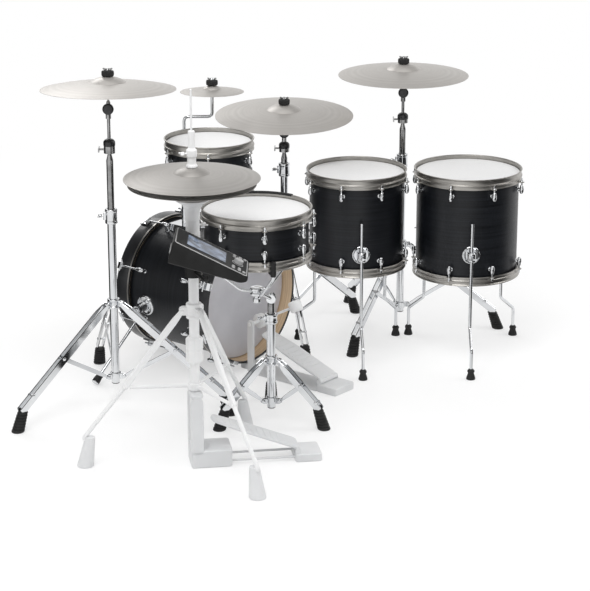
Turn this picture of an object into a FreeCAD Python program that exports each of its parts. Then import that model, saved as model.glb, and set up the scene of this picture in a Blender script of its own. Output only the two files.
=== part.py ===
import FreeCAD, Part
import math
import os
import re
import Sketcher

# An electronic drum kit on the floor: bass drum, rack tom, two floor toms, snare, four cymbals, hi-hat,
# their stands, two pedals and a sound module. +Y faces the audience, +X is the player's right, +Z is up.
# All lengths are in millimetres and all angles in degrees.

Vector = FreeCAD.Vector
Rotation = FreeCAD.Rotation
Placement = FreeCAD.Placement
UP = Vector(0, 0, 1)
ALONG = Vector(1, 0, 0)
ACROSS = Vector(0, 1, 0)

SIZES = {
    # Floor plan, from the floor point under the bass drum's front edge
    "centre_x": -55.4,
    "centre_y": -519.7,
    "view_turn": -51.0,
    "rack_x": -223.0,
    "rack_y": -414.0,
    "left_tom_x": 313.0,
    "left_tom_y": -574.0,
    "right_tom_x": 554.0,
    "right_tom_y": -843.0,
    "snare_x": -376.0,
    "snare_y": -730.0,
    "snare_stand_x": -321.0,
    "snare_stand_y": -739.0,
    "left_stand_x": -512.0,
    "left_stand_y": -271.0,
    "middle_stand_x": 339.0,
    "middle_stand_y": -251.0,
    "ride_stand_x": 630.0,
    "ride_stand_y": -524.0,
    "hihat_x": -727.0,
    "hihat_y": -793.0,
    "holder_x": -40.0,
    "holder_y": -148.0,
    "splash_x": 18.0,
    "splash_y": -217.0,
    # Drum shells: radius, depth and height of the rim's top edge
    "rack_radius": 128.0,
    "rack_depth": 150.0,
    "rack_top": 811.0,
    "rack_lugs": 6,
    "rack_lug_phase": 91.0,
    "left_tom_radius": 152.0,
    "left_tom_depth": 300.0,
    "left_tom_top": 636.0,
    "left_tom_lugs": 8,
    "right_tom_radius": 164.5,
    "right_tom_depth": 327.0,
    "right_tom_top": 634.0,
    "right_tom_lugs": 8,
    "snare_radius": 154.0,
    "snare_depth": 132.0,
    "snare_lugs": 8,
    "shell_wall": 6.0,
    # Flanged metal rims
    "rim_gap": 5.4,
    "rim_metal": 2.3,
    "rim_overhang": 10.5,
    "rim_rise": 14.0,
    "low_rim_rise": 10.0,
    "rim_drop": 20.0,
    "ear_width": 17.0,
    "ear_reach": 8.0,
    # Mesh heads with their hoops
    "head_skin": 1.0,
    "head_gap": 0.6,
    "head_ring": 5.0,
    "head_seat": 4.0,
    "head_skirt": 10.0,
    "clearance": 0.3,
    "fit_gap": 0.05,
    "cut_over": 1.0,
    "bite": 1.0,
    # Lugs and tension rods
    "rod_reach": 16.0,
    "rod_radius": 2.7,
    "rod_head_radius": 4.9,
    "rod_head_height": 12.0,
    "rod_depth": 20.0,
    "lug_drop": 30.0,
    "lug_length": 28.0,
    "lug_radius": 7.5,
    "lug_chamfer": 3.0,
    "lug_foot_width": 11.0,
    "lug_foot_height": 14.0,
    # Trigger sensors below the heads
    "sensor_drop": 48.0,
    "sensor_bar_width": 28.0,
    "sensor_bar_metal": 4.0,
    "sensor_puck_radius": 18.0,
    "sensor_puck_height": 8.0,
    "sensor_cone_radius": 15.0,
    "sensor_cone_tip": 7.0,
    # Bass drum
    "kick_radius": 203.0,
    "kick_depth": 305.5,
    "kick_wall": 7.0,
    "kick_floor_gap": 20.1,
    "kick_lugs": 8,
    "hoop_gap": 6.5,
    "hoop_wood": 8.2,
    "hoop_width": 52.0,
    "hoop_proud": 43.0,
    "claw_metal": 4.0,
    "claw_width": 24.0,
    "claw_lip": 6.5,
    "claw_length": 28.0,
    "claw_ear": 20.0,
    "kick_rod_reach": 27.0,
    "kick_rod_radius": 3.0,
    "kick_rod_grip": 38.0,
    "kick_lug_gap": 45.0,
    "spur_y": -115.0,
    "spur_disc_radius": 34.0,
    "spur_disc_height": 9.0,
    "spur_boss_radius": 15.0,
    "spur_boss_height": 28.0,
    "spur_pin_radius": 5.0,
    "spur_eye_radius": 14.0,
    "spur_eye_width": 10.0,
    "spur_rod_radius": 4.9,
    "spur_drop": 8.5,
    "spur_neck": 28.0,
    "spur_left_lean": 51.5,
    "spur_right_lean": 41.0,
    "spur_left_stride": 0.0,
    "spur_right_stride": 8.5,
    # Rubber feet
    "foot_radius": 20.0,
    "foot_top_radius": 16.0,
    "foot_height": 52.0,
    "small_foot_radius": 12.0,
    "small_foot_top_radius": 9.0,
    "small_foot_height": 34.0,
    # Floor tom legs and their brackets
    "leg_rod_radius": 5.3,
    "leg_reach": 24.0,
    "leg_rise": 109.0,
    "leg_foot_reach": 95.0,
    "leg_high_knee": 150.0,
    "leg_low_knee": 95.0,
    "leg_bend": 18.0,
    "left_tom_leg_1": 223.3,
    "left_tom_leg_2": 3.5,
    "left_tom_leg_3": 88.3,
    "right_tom_leg_1": 219.7,
    "right_tom_leg_2": 354.7,
    "right_tom_leg_3": 81.0,
    "bracket_drop": 247.0,
    "bracket_radius": 29.5,
    "bracket_plate": 8.0,
    "bracket_block": 30.0,
    # Tripods
    "tube_radius": 12.7,
    "tube_wall": 2.0,
    "post_radius": 10.6,
    "slide_gap": 0.1,
    "hub_radius": 19.0,
    "hub_height": 30.0,
    "pivot_radius": 27.0,
    "pin_radius": 3.0,
    "tongue_width": 8.0,
    "bar_metal": 3.0,
    "bar_width": 16.0,
    "brace_metal": 4.0,
    "brace_width": 13.0,
    "collar_radius": 17.0,
    "collar_height": 22.0,
    "collar_pivot": 28.0,
    "cheek_metal": 2.5,
    "tripod_knee": 8.0,
    "brace_share": 0.5,
    "left_spread": 375.0,
    "left_phase": 172.0,
    "left_hub": 323.0,
    "left_collar": 89.0,
    "middle_spread": 338.0,
    "middle_phase": 231.3,
    "middle_hub": 300.0,
    "middle_collar": 86.0,
    "ride_spread": 338.0,
    "ride_phase": 188.7,
    "ride_hub": 300.0,
    "ride_collar": 86.0,
    "snare_spread": 182.0,
    "snare_phase": 40.0,
    "snare_hub": 190.0,
    "snare_collar": 62.0,
    # Cymbal stand posts: clamp on the lower tube, top of the post, tilter pivot, lean away from the viewer
    "left_clamp": 600.0,
    "left_post_reach": 195.0,
    "left_rod_reach": 136.0,
    "left_lean": 3.7,
    "middle_clamp": 575.0,
    "middle_post_reach": 61.0,
    "middle_rod_reach": 65.0,
    "middle_lean": -3.1,
    "ride_clamp": 593.0,
    "ride_post_reach": 129.0,
    "ride_rod_reach": 103.0,
    "ride_lean": 0.0,
    "clamp_radius": 19.0,
    "clamp_height": 46.0,
    "post_inside": 190.0,
    "top_rod_radius": 5.0,
    "top_clamp_radius": 17.0,
    "top_clamp_height": 22.0,
    "wing_stem": 14.0,
    "wing_span": 32.0,
    "wing_height": 12.0,
    "wing_metal": 4.0,
    # Tilters and cymbal seats
    "tilter_radius": 15.0,
    "tilter_width": 6.0,
    "tilter_neck_radius": 8.0,
    "tilter_neck": 30.0,
    "cymbal_rod_radius": 2.8,
    "cymbal_rod_proud": 3.0,
    "cymbal_seat": 57.0,
    "seat_play": 1.2,
    "felt_radius": 12.0,
    "felt_height": 8.0,
    "cup_radius": 14.0,
    "cup_height": 6.0,
    "sleeve_radius": 4.2,
    "top_felt_radius": 15.0,
    "top_felt_height": 9.0,
    "wing_nut_radius": 6.0,
    "wing_nut_height": 8.0,
    # Cymbals
    "left_cymbal_radius": 203.2,
    "middle_cymbal_radius": 228.6,
    "ride_cymbal_radius": 215.9,
    "splash_radius": 101.6,
    "hat_radius": 190.5,
    "hat_low_radius": 179.0,
    "cymbal_metal": 1.8,
    "cymbal_hole": 6.5,
    "bell_radius": 56.0,
    "bell_rise": 17.0,
    "bow_rise": 21.0,
    "bow_sag": 3.0,
    "bell_sag": 4.0,
    "splash_bell_radius": 31.0,
    "splash_bell_rise": 11.0,
    "splash_bow_rise": 9.0,
    "splash_bow_sag": 1.5,
    "splash_bell_sag": 2.5,
    "hat_bell_radius": 52.0,
    "hat_bell_rise": 16.0,
    "hat_bow_rise": 16.0,
    # Tom holder and splash arm
    "holder_plate_length": 96.0,
    "holder_plate_width": 58.0,
    "holder_plate_height": 14.0,
    "holder_post_proud": 2.0,
    "rack_hinge_drop": 89.0,
    "holder_arm_radius": 8.5,
    "holder_clamp_radius": 22.0,
    "holder_clamp_height": 40.0,
    "rack_hinge_reach": 34.0,
    "rack_hinge_radius": 13.0,
    "rack_hinge_width": 18.0,
    "rack_cheek": 7.0,
    "rack_plate_width": 46.0,
    "rack_plate_height": 64.0,
    "splash_arm_radius": 5.0,
    "splash_arm_rise": 62.0,
    "splash_rise": 81.0,
    "splash_lean": 2.6,
    "splash_bend": 14.0,
    "splash_neck": 6.0,
    "splash_pivot_radius": 12.0,
    "splash_pivot_height": 20.0,
    "splash_cap_radius": 19.0,
    "splash_cap_height": 28.0,
    # Snare stand and basket
    "snare_lug_phase": -81.0,
    "snare_clamp": 322.0,
    "snare_clamp_height": 30.0,
    "snare_post_inside": 110.0,
    "snare_post_reach": 63.0,
    "basket_neck_rise": 34.0,
    "basket_hub_radius": 20.0,
    "basket_hub_height": 24.0,
    "basket_hub_reach": 50.0,
    "basket_phase": 47.0,
    "basket_bend": 9.0,
    "basket_drop": 106.0,
    "basket_rod_radius": 5.0,
    "basket_grip_radius": 8.5,
    "basket_grip_height": 34.0,
    "basket_pad_height": 8.0,
    "basket_pad_radius": 10.0,
    # Hi-hat stand and pedal
    "hihat_turn": -42.0,
    "hihat_spread": 318.0,
    "hihat_phase": 55.8,
    "hihat_hub": 460.0,
    "hihat_hub_wall": 8.0,
    "hihat_hub_height": 44.0,
    "hihat_brace": 235.0,
    "hihat_brace_wall": 6.0,
    "hihat_brace_height": 20.0,
    "hihat_tube_radius": 14.5,
    "hihat_tube_bottom": 52.0,
    "hihat_tube_top": 668.0,
    "hihat_collar_radius": 21.0,
    "hihat_upper_height": 78.0,
    "hihat_seat_height": 39.5,
    "hihat_seat_radius": 50.0,
    "hihat_seat_felt_radius": 20.0,
    "hihat_rod_radius": 3.0,
    "hihat_rod_bottom": 160.0,
    "hihat_rod_top": 1094.0,
    "hihat_gap": 18.0,
    "hihat_wing_rise": 40.0,
    "hihat_wing_turn": 20.0,
    "clutch_flange_radius": 16.0,
    "clutch_flange": 8.0,
    "clutch_radius": 15.0,
    "clutch_height": 50.0,
    "hihat_leg_width": 19.0,
    "hihat_leg_metal": 12.0,
    "hihat_leg_rod_radius": 5.5,
    "hihat_leg_knee": 8.0,
    "hihat_leg_bend": 12.0,
    "hihat_ear_length": 24.0,
    "hihat_ear_height": 24.0,
    "hihat_block_radius": 25.0,
    "hihat_block_bottom": 306.0,
    "hihat_block_height": 75.0,
    "hihat_foot_radius": 25.0,
    "hihat_foot_top_radius": 16.0,
    "hihat_foot_height": 80.0,
    "frame_half_width": 46.0,
    "frame_metal": 9.0,
    "frame_depth": 36.0,
    "frame_top": 212.0,
    "frame_base_length": 118.0,
    "frame_base_height": 52.0,
    "hihat_heel": 322.0,
    "heel_length": 78.0,
    "heel_width": 98.0,
    "heel_height": 24.0,
    "radius_rod_radius": 3.5,
    "radius_rod_half_span": 30.0,
    "board_metal": 7.0,
    "board_width": 82.0,
    "board_toe_width": 57.0,
    "board_taper": 105.0,
    "board_toe_sag": 8.0,
    "hihat_board_length": 262.0,
    "hihat_board_rise": 21.0,
    "board_pin_radius": 4.0,
    # Bass drum pedal
    "pedal_gap": 36.5,
    "pedal_axle_height": 168.0,
    "pedal_axle_radius": 6.0,
    "pedal_half_width": 48.0,
    "pedal_upright": 26.0,
    "pedal_metal": 9.0,
    "pedal_base_metal": 6.0,
    "pedal_heel_reach": 307.0,
    "pedal_board_length": 268.0,
    "pedal_board_rise": 20.0,
    "beater_length": 165.0,
    "beater_back": 62.0,
    "beater_rod_radius": 4.0,
    "beater_head_radius": 21.0,
    "beater_head_width": 36.0,
    "beater_chamfer": 4.5,
    "cam_radius": 24.0,
    "cam_width": 22.0,
    # Sound module and its holder
    "module_length": 222.0,
    "module_width": 150.0,
    "module_height": 44.0,
    "module_nose": 16.0,
    "module_slope": 16.0,
    "module_fall": 21.5,
    "module_side": 104.0,
    "module_drop": 58.0,
    "module_ahead": 42.0,
    "module_screen_length": 120.0,
    "module_screen_width": 96.0,
    "module_screen_metal": 1.2,
    "module_knob_radius": 13.0,
    "module_knob_height": 14.0,
    "module_knob_taper": 2.0,
    "module_knob_ahead": 78.0,
    "module_shaft_radius": 3.0,
    "module_shaft_depth": 11.0,
    "module_hinge_radius": 11.0,
    "module_hinge_width": 26.0,
    "module_rod_radius": 5.0,
    "module_rod_drop": 33.0,
    "module_rod_bend": 12.0,
    "module_clamp_wall": 9.0,
    "module_clamp_height": 32.0,
    "jack_radius": 3.25,
    "jack_depth": 14.0,
    "jack_pitch": 19.5,
}

# Places that follow from the piece that carries each one
DERIVED = {
    "kick_axis": "kick_floor_gap + hoop_wood + hoop_gap + kick_radius",
    "pedal_axle_y": "-kick_depth - 2 * hoop_proud - pedal_gap",
    "holder_arm_height": "rack_top - rack_hinge_drop",
    "holder_post_top": "holder_arm_height + holder_clamp_height / 2 + holder_post_proud",
    "splash_arm_step": "holder_post_top + splash_arm_rise",
    "splash_edge": "splash_arm_step + splash_rise",
    "basket_pivot": "snare_clamp + snare_post_reach",
    "basket_height": "basket_pivot + basket_neck_rise",
    "snare_bottom": "basket_height + basket_drop + low_rim_rise",
    "hihat_collar_top": "hihat_tube_top + hihat_upper_height",
    "hihat_felt_low": "hihat_collar_top + hihat_seat_height",
    "hihat_felt_top": "hihat_felt_low + felt_height",
    "hihat_edge": "hihat_felt_top + fit_gap + hat_bell_rise + hat_bow_rise + hihat_gap",
    "hihat_block_top": "hihat_block_bottom + hihat_block_height",
    "module_centre_height": "hihat_tube_top - module_drop",
}
for stand in ("left", "middle", "ride"):
    DERIVED[stand + "_post_top"] = "{0}_clamp + {0}_post_reach".format(stand)
    DERIVED[stand + "_pivot"] = "{0}_post_top + {0}_rod_reach".format(stand)
for tom in ("left_tom", "right_tom"):
    DERIVED[tom + "_bracket"] = "%s_top - bracket_drop" % tom
    DERIVED[tom + "_leg_top"] = "%s_bracket + leg_rise" % tom

doc = FreeCAD.newDocument("DrumKit")
sheet = doc.addObject("Spreadsheet::Sheet", "Sizes")
for row, (alias, amount) in enumerate(SIZES.items(), start=1):
    sheet.set("A%d" % row, alias)
    sheet.set("B%d" % row, str(amount))
    sheet.setAlias("B%d" % row, alias)
doc.recompute()

nodes = {}


def bound(expression):
    """The expression with derived places written out and the sheet's name in front of each of its sizes."""
    def written_out(word):
        name = word.group(0)
        if name == "abs":
            return name
        return "(%s)" % bound(DERIVED[name]) if name in DERIVED else "Sizes." + name
    return re.sub(r"[a-z]\w*", written_out, expression)


def value(expression):
    """What an expression of the sheet's sizes comes to."""
    return float(sheet.evalExpression(bound(str(expression))))


def local(x=0.0, y=0.0, z=0.0, axis=UP, turn=0.0):
    """A placement from coordinates, or expressions of the sheet's sizes, and one turn."""
    return Placement(Vector(value(x), value(y), value(z)), Rotation(axis, value(turn)))


def spot(x, y, z=0.0, turn=0.0):
    """A place on the kit's floor plan."""
    return local("%s - centre_x" % x, "%s - centre_y" % y, z, UP, turn)


def bind(thing, **sizes):
    for name, expression in sizes.items():
        thing.setExpression(name, bound(str(expression)))


def cylinder(name, place, radius, height):
    thing = doc.addObject("Part::Cylinder", name)
    bind(thing, Radius=radius, Height=height)
    thing.Placement = place
    return thing


def box(name, place, length, width, height):
    """A box standing on its placement's origin, centred on it in X and Y."""
    thing = doc.addObject("Part::Box", name)
    bind(thing, Length=length, Width=width, Height=height)
    shift = local("-(%s) / 2" % length, "-(%s) / 2" % width)
    thing.Placement = place.multiply(shift)
    return thing


def fuse(name, pieces):
    thing = doc.addObject("Part::MultiFuse", name)
    thing.Shapes = pieces
    return thing


def cut(name, piece, tool):
    thing = doc.addObject("Part::Cut", name)
    thing.Base = piece
    thing.Tool = tool
    return thing


def copies(name, piece, places):
    """One piece repeated at each placement."""
    thing = doc.addObject("App::Link", name)
    thing.LinkedObject = piece
    thing.ShowElement = False
    thing.ElementCount = len(places)
    thing.PlacementList = places
    return thing


def node(label, pieces):
    """A named sub-part made of one piece or of a group of separate pieces."""
    thing = pieces[0]
    if len(pieces) > 1:
        thing = doc.addObject("Part::Compound", label)
        thing.Links = pieces
    thing.Label = label
    nodes[label] = thing
    return thing


def outline(body, role, points):
    """A closed sketch through (x, y) points; a third item is the outward sag of the arc to the next point."""
    sketch = body.newObject("Sketcher::SketchObject", "Outline")
    plane = [feature for feature in body.Origin.OriginFeatures if feature.Role == role][0]
    sketch.AttachmentSupport = [(plane, "")]
    sketch.MapMode = "FlatFace"
    spots = [Vector(value(point[0]), value(point[1]), 0) for point in points]
    ends = []
    for index, point in enumerate(points):
        after = (index + 1) % len(points)
        start, stop = spots[index], spots[after]
        if len(point) == 2:
            sketch.addGeometry(Part.LineSegment(start, stop), False)
            ends.append((1, 2))
            continue
        chord = stop - start
        sag = value(point[2])
        middle = (start + stop) * 0.5 + Vector(chord.y, -chord.x, 0).normalize() * sag
        forward = sag > 0
        arc = Part.Arc(start, middle, stop) if forward else Part.Arc(stop, middle, start)
        number = sketch.addGeometry(arc, False)
        ends.append((1, 2) if forward else (2, 1))
        span = "((%s) - (%s))^2 + ((%s) - (%s))^2" % (points[after][0], point[0], points[after][1], point[1])
        depth = "abs(%s)" % point[2]
        radius = "(%s) / (8 * %s) + %s / 2" % (span, depth, depth)
        rule = sketch.addConstraint(Sketcher.Constraint("Radius", number, value_of_radius(chord, sag)))
        sketch.setExpression("Constraints[%d]" % rule, bound(radius))
    for index in range(len(points)):
        after = (index + 1) % len(points)
        sketch.addConstraint(Sketcher.Constraint("Coincident", index, ends[index][1], after, ends[after][0]))
    for index, point in enumerate(points):
        for kind, expression in (("DistanceX", point[0]), ("DistanceY", point[1])):
            rule = Sketcher.Constraint(kind, -1, 1, index, ends[index][0], value(expression))
            number = sketch.addConstraint(rule)
            sketch.setExpression("Constraints[%d]" % number, bound(str(expression)))
    return sketch


def value_of_radius(chord, sag):
    """The radius of the arc over a chord with a given sag."""
    return chord.Length ** 2 / (8 * abs(sag)) + abs(sag) / 2


def turned(name, place, points):
    """A body turned about its own Z axis from an outline of (radius, height) points."""
    body = doc.addObject("PartDesign::Body", name)
    turn = body.newObject("PartDesign::Revolution", "Turn")
    turn.Profile = outline(body, "XZ_Plane", points)
    turn.ReferenceAxis = (turn.Profile[0], ["V_Axis"])
    turn.Angle = 360
    body.Tip = turn
    body.Placement = place
    return body


def padded(name, place, points, thickness, role="XY_Plane"):
    """A body of even thickness with its outline in one of its own planes and half of it on each side."""
    body = doc.addObject("PartDesign::Body", name)
    pad = body.newObject("PartDesign::Pad", "Pad")
    pad.Profile = outline(body, role, points)
    pad.SideType = "Symmetric"
    bind(pad, Length=thickness)
    body.Tip = pad
    body.Placement = place
    return body


def shaped(name, place, shape):
    """A piece whose shape is worked out from the sheet's sizes."""
    thing = doc.addObject("Part::Feature", name)
    thing.Shape = shape
    thing.Placement = place
    return thing


def bent_path(points, bend):
    """Straight runs through points, joined by tangent arcs of one radius."""
    edges = []
    start = points[0]
    for before, corner, after in zip(points, points[1:], points[2:]):
        inward = (before - corner).normalize()
        outward = (after - corner).normalize()
        half = inward.getAngle(outward) / 2
        reach = bend / math.tan(half)
        centre = corner + (inward + outward).normalize() * (bend / math.sin(half))
        middle = centre + (corner - centre).normalize() * bend
        edges.append(Part.LineSegment(start, corner + inward * reach).toShape())
        edges.append(Part.Arc(corner + inward * reach, middle, corner + outward * reach).toShape())
        start = corner + outward * reach
    edges.append(Part.LineSegment(start, points[-1]).toShape())
    return Part.Wire(edges)


def bent_rod(points, radius, bend=0.0):
    """The solid of a round rod along a bent path."""
    path = bent_path(points, bend)
    ring = Part.Circle(points[0], points[1] - points[0], radius).toShape()
    return path.makePipeShell([Part.Wire([ring])], True, False)


def flat_bar(path, width, start, metal, holes=(), square_end=False):
    """A flat bar with round ends along (x, z) points, from y = start, with round holes at (x, z)."""
    inner = Vector(0, start, 0)
    through = Vector(0, metal, 0)
    spots = [Vector(x, 0, z) + inner for x, z in path]
    pieces = []
    for a, b in zip(spots, spots[1:]):
        side = (b - a).cross(ACROSS).normalize() * (width / 2)
        corners = [a + side, b + side, b - side, a - side, a + side]
        pieces.append(Part.Face(Part.makePolygon(corners)).extrude(through))
    for rounded in spots[:-1] if square_end else spots:
        pieces.append(Part.makeCylinder(width / 2, metal, rounded, ACROSS))
    bar = pieces[0].multiFuse(pieces[1:]).removeSplitter()
    over = value("cut_over")
    for x, z, radius in holes:
        drill = Part.makeCylinder(radius, metal + 2 * over, Vector(x, start - over, z), ACROSS)
        bar = bar.cut(drill)
    return bar


def ring_outline(inner, outer, bottom, top):
    return [(inner, bottom), (outer, bottom), (outer, top), (inner, top)]


def wing_bolt(name, place):
    """A wing bolt that points along its placement's +X axis."""
    stem = cylinder(name + "_stem", place.multiply(local(axis=ACROSS, turn=90)), "pin_radius", "wing_stem")
    wings = box(name + "_wings", place.multiply(local("wing_stem", 0, "-wing_height / 2")), "wing_metal",
                "wing_span", "wing_height")
    return fuse(name, [stem, wings])


def foot(name, place, kind="foot"):
    """A rubber foot standing on the floor."""
    top = kind + "_top_radius"
    height = kind + "_height"
    return turned(name, place, [("0", "0"), (kind + "_radius", "0"), (top, height), ("0", height)])


# Drums


def rim(name, place, radius, count, rise):
    """A flanged metal rim around a head whose bearing edge is at z = 0, with an ear for each tension rod."""
    inside = "%s + rim_gap" % radius
    outside = "%s + rim_gap + rim_metal" % radius
    lip = "%s + rim_overhang" % radius
    press = "%s + head_gap + head_skin + clearance" % radius
    body = turned(name, place, [
        (press, "-head_seat"), (inside, "-head_seat"), (inside, "-rim_drop"), (lip, "-rim_drop"),
        (lip, "rim_metal - rim_drop"), (outside, "rim_metal - rim_drop"), (outside, "%s - rim_metal" % rise),
        (lip, "%s - rim_metal" % rise), (lip, rise), (inside, rise), (inside, "rim_metal - head_seat"),
        (press, "rim_metal - head_seat")])
    doc.recompute()
    ear = body.newObject("PartDesign::Pad", "Ear")
    far = "%s + rod_reach + ear_reach" % radius
    ear.Profile = outline(body, "XY_Plane", [
        (inside + " + rim_metal / 2", "-ear_width / 2"), (far, "-ear_width / 2", "ear_width / 3"),
        (far, "ear_width / 2"), (inside + " + rim_metal / 2", "ear_width / 2")])
    sketch = ear.Profile[0]
    sketch.AttachmentOffset = local(z="-rim_drop")
    hole = Part.Circle(Vector(value("%s + rod_reach" % radius), 0, 0), UP, value("rod_radius + clearance"))
    number = sketch.addGeometry(hole, False)
    rules = (("DistanceX", -1, 1, number, 3, "%s + rod_reach" % radius), ("DistanceY", -1, 1, number, 3, "0"))
    for kind, from_line, from_end, to_line, to_end, expression in rules:
        rule = Sketcher.Constraint(kind, from_line, from_end, to_line, to_end, value(expression))
        sketch.setExpression("Constraints[%d]" % sketch.addConstraint(rule), bound(expression))
    rule = sketch.addConstraint(Sketcher.Constraint("Radius", number, value("rod_radius + clearance")))
    sketch.setExpression("Constraints[%d]" % rule, bound("rod_radius + clearance"))
    bind(ear, Length="rim_metal")
    doc.recompute()
    ring = body.newObject("PartDesign::PolarPattern", "Ears")
    ring.Originals = [ear]
    ring.Axis = (sketch, ["N_Axis"])
    ring.Angle = 360
    bind(ring, Occurrences=count)
    body.Tip = ring
    return body


def head(name, place, radius):
    """A mesh head over a bearing edge at z = 0, with the hoop that its rim presses down."""
    inner = "%s + head_gap" % radius
    outer = "%s + head_gap + head_skin" % radius
    ring = "%s + head_ring" % radius
    return turned(name, place, [
        ("0", "0"), (inner, "0"), (inner, "-head_skirt"), (ring, "-head_skirt"), (ring, "-head_seat"),
        (outer, "-head_seat"), (outer, "head_skin"), ("0", "head_skin")])


def sensor(name, place, radius, wall):
    """The trigger below a head: a bar across the shell, a puck on it and a foam cone up to the head."""
    bar = box(name + "_plank", place.multiply(local(z="-sensor_drop")), "2 * (%s)" % radius,
              "sensor_bar_width", "sensor_bar_metal")
    room = cylinder(name + "_room", place.multiply(local(z="-sensor_drop - cut_over")),
                    "%s - %s - clearance" % (radius, wall), "sensor_bar_metal + 2 * cut_over")
    fitted = doc.addObject("Part::Common", name + "_bar")
    fitted.Base = bar
    fitted.Tool = room
    puck_bottom = "sensor_bar_metal - sensor_drop"
    puck = cylinder(name + "_puck", place.multiply(local(z=puck_bottom)), "sensor_puck_radius",
                    "sensor_puck_height")
    cone_bottom = puck_bottom + " + sensor_puck_height"
    cone = turned(name + "_cone", place.multiply(local(z=cone_bottom)), [
        ("0", "0"), ("sensor_cone_radius", "0"), ("sensor_cone_tip", "-(%s) - clearance" % cone_bottom),
        ("0", "-(%s) - clearance" % cone_bottom)])
    return [fitted, puck, cone]


def lug(name, reach):
    """A lug with its bore on the Z axis, from z = 0 down, and its foot towards the shell at -X."""
    bore = "rod_radius + clearance"
    body = turned(name, local(), [
        (bore, "-lug_length"), ("lug_radius - lug_chamfer / 2", "-lug_length"),
        ("lug_radius", "lug_chamfer - lug_length"), ("lug_radius", "-lug_chamfer"),
        ("lug_radius - lug_chamfer / 2", "0"), (bore, "0")])
    doc.recompute()
    arm = body.newObject("PartDesign::Pad", "Foot")
    root, tip = "-(%s) - rim_metal / 2" % bore, "fit_gap - %s" % reach
    side = "lug_foot_width / 2"
    arm.Profile = outline(body, "XY_Plane", [
        (tip, "-" + side), (root, "-" + side), (root, side), (tip, side)])
    arm.Profile[0].AttachmentOffset = local(z="-lug_length / 2")
    arm.SideType = "Symmetric"
    bind(arm, Length="lug_foot_height")
    body.Tip = arm
    return body


def tension_rod(name):
    """A tension rod with its washer on z = 0 and its shaft down to the lug."""
    low = "rim_drop - rim_metal - lug_drop - rod_depth"
    return turned(name, local(), [
        ("0", low), ("rod_radius", low), ("rod_radius", "0"), ("rod_head_radius", "0"),
        ("rod_head_radius", "rim_metal"), ("rod_radius", "rim_metal"), ("rod_radius", "rod_head_height"),
        ("0", "rod_head_height")])


FLIP = Rotation(ALONG, 180)


def around(place, radius, height, count, phase, flipped=False):
    """Placements spaced round a drum's axis at a radius and a height."""
    places = []
    for step in range(int(value(count))):
        turn = Rotation(UP, value(phase) + 360 * step / value(count))
        arm = turn.multVec(Vector(value(radius), 0, 0)) + Vector(0, 0, value(height))
        places.append(place.multiply(Placement(arm, turn.multiply(FLIP) if flipped else turn)))
    return places


def drum(label, size, place, phase, extra):
    """Shell, rims, heads with the sensor, and hardware of a drum that stands on z = 0 of its place."""
    radius, depth, count = size + "_radius", size + "_depth", size + "_lugs"
    top = place.multiply(local(z=depth, turn=phase))
    bottom = place.multiply(Placement(Vector(), Rotation(UP, value(phase)).multiply(FLIP)))
    shell = ring_outline("%s - shell_wall" % radius, radius, "0", depth)
    node(label + "_shell", [turned(label + "_shell", place, shell)])
    node(label + "_hoops", [rim(label + "_top_rim", top, radius, count, "rim_rise"),
                            rim(label + "_low_rim", bottom, radius, count, "low_rim_rise")])
    heads = [head(label + "_mesh_head", top, radius), head(label + "_low_head", bottom, radius)]
    node(label + "_heads", heads + sensor(label + "_sensor", top, radius, "shell_wall"))
    circle = "%s + rod_reach" % radius
    ear_top = "rim_metal - rim_drop"
    lugs = around(place, circle, "%s - lug_drop" % depth, count, phase)
    lugs += around(place, circle, "lug_drop", count, phase, flipped=True)
    rods = around(place, circle, "%s + %s" % (depth, ear_top), count, phase)
    rods += around(place, circle, "-(%s)" % ear_top, count, phase, flipped=True)
    node(label + "_hardware", [copies(label + "_lugs", lug(label + "_lug", "rod_reach"), lugs),
                               copies(label + "_rods", tension_rod(label + "_rod"), rods)] + extra)


def shell_bracket(name, place, radius, bore, reach):
    """A round bracket on a shell, pointing along +X, with a block bored along Z for a leg or an arm."""
    start = "%s - bracket_plate" % radius
    disc = cylinder(name + "_disc", place.multiply(local(start, axis=ACROSS, turn=90)), "bracket_radius",
                    "2 * bracket_plate")
    bore_at = "%s + %s" % (radius, reach)
    block = cylinder(name + "_block", place.multiply(local(bore_at, 0, "-bracket_block / 2")),
                     "%s - fit_gap" % reach, "bracket_block")
    whole = fuse(name + "_whole", [disc, block])
    low, length = "-bracket_radius - cut_over", "2 * (bracket_radius + cut_over)"
    shell = cylinder(name + "_seat", place.multiply(local(z=low)), "%s + fit_gap" % radius, length)
    hole = cylinder(name + "_bore", place.multiply(local(bore_at, 0, low)), bore + " + slide_gap", length)
    return cut(name, whole, fuse(name + "_tools", [shell, hole]))


floor_legs = []
floor_feet = []


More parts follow.
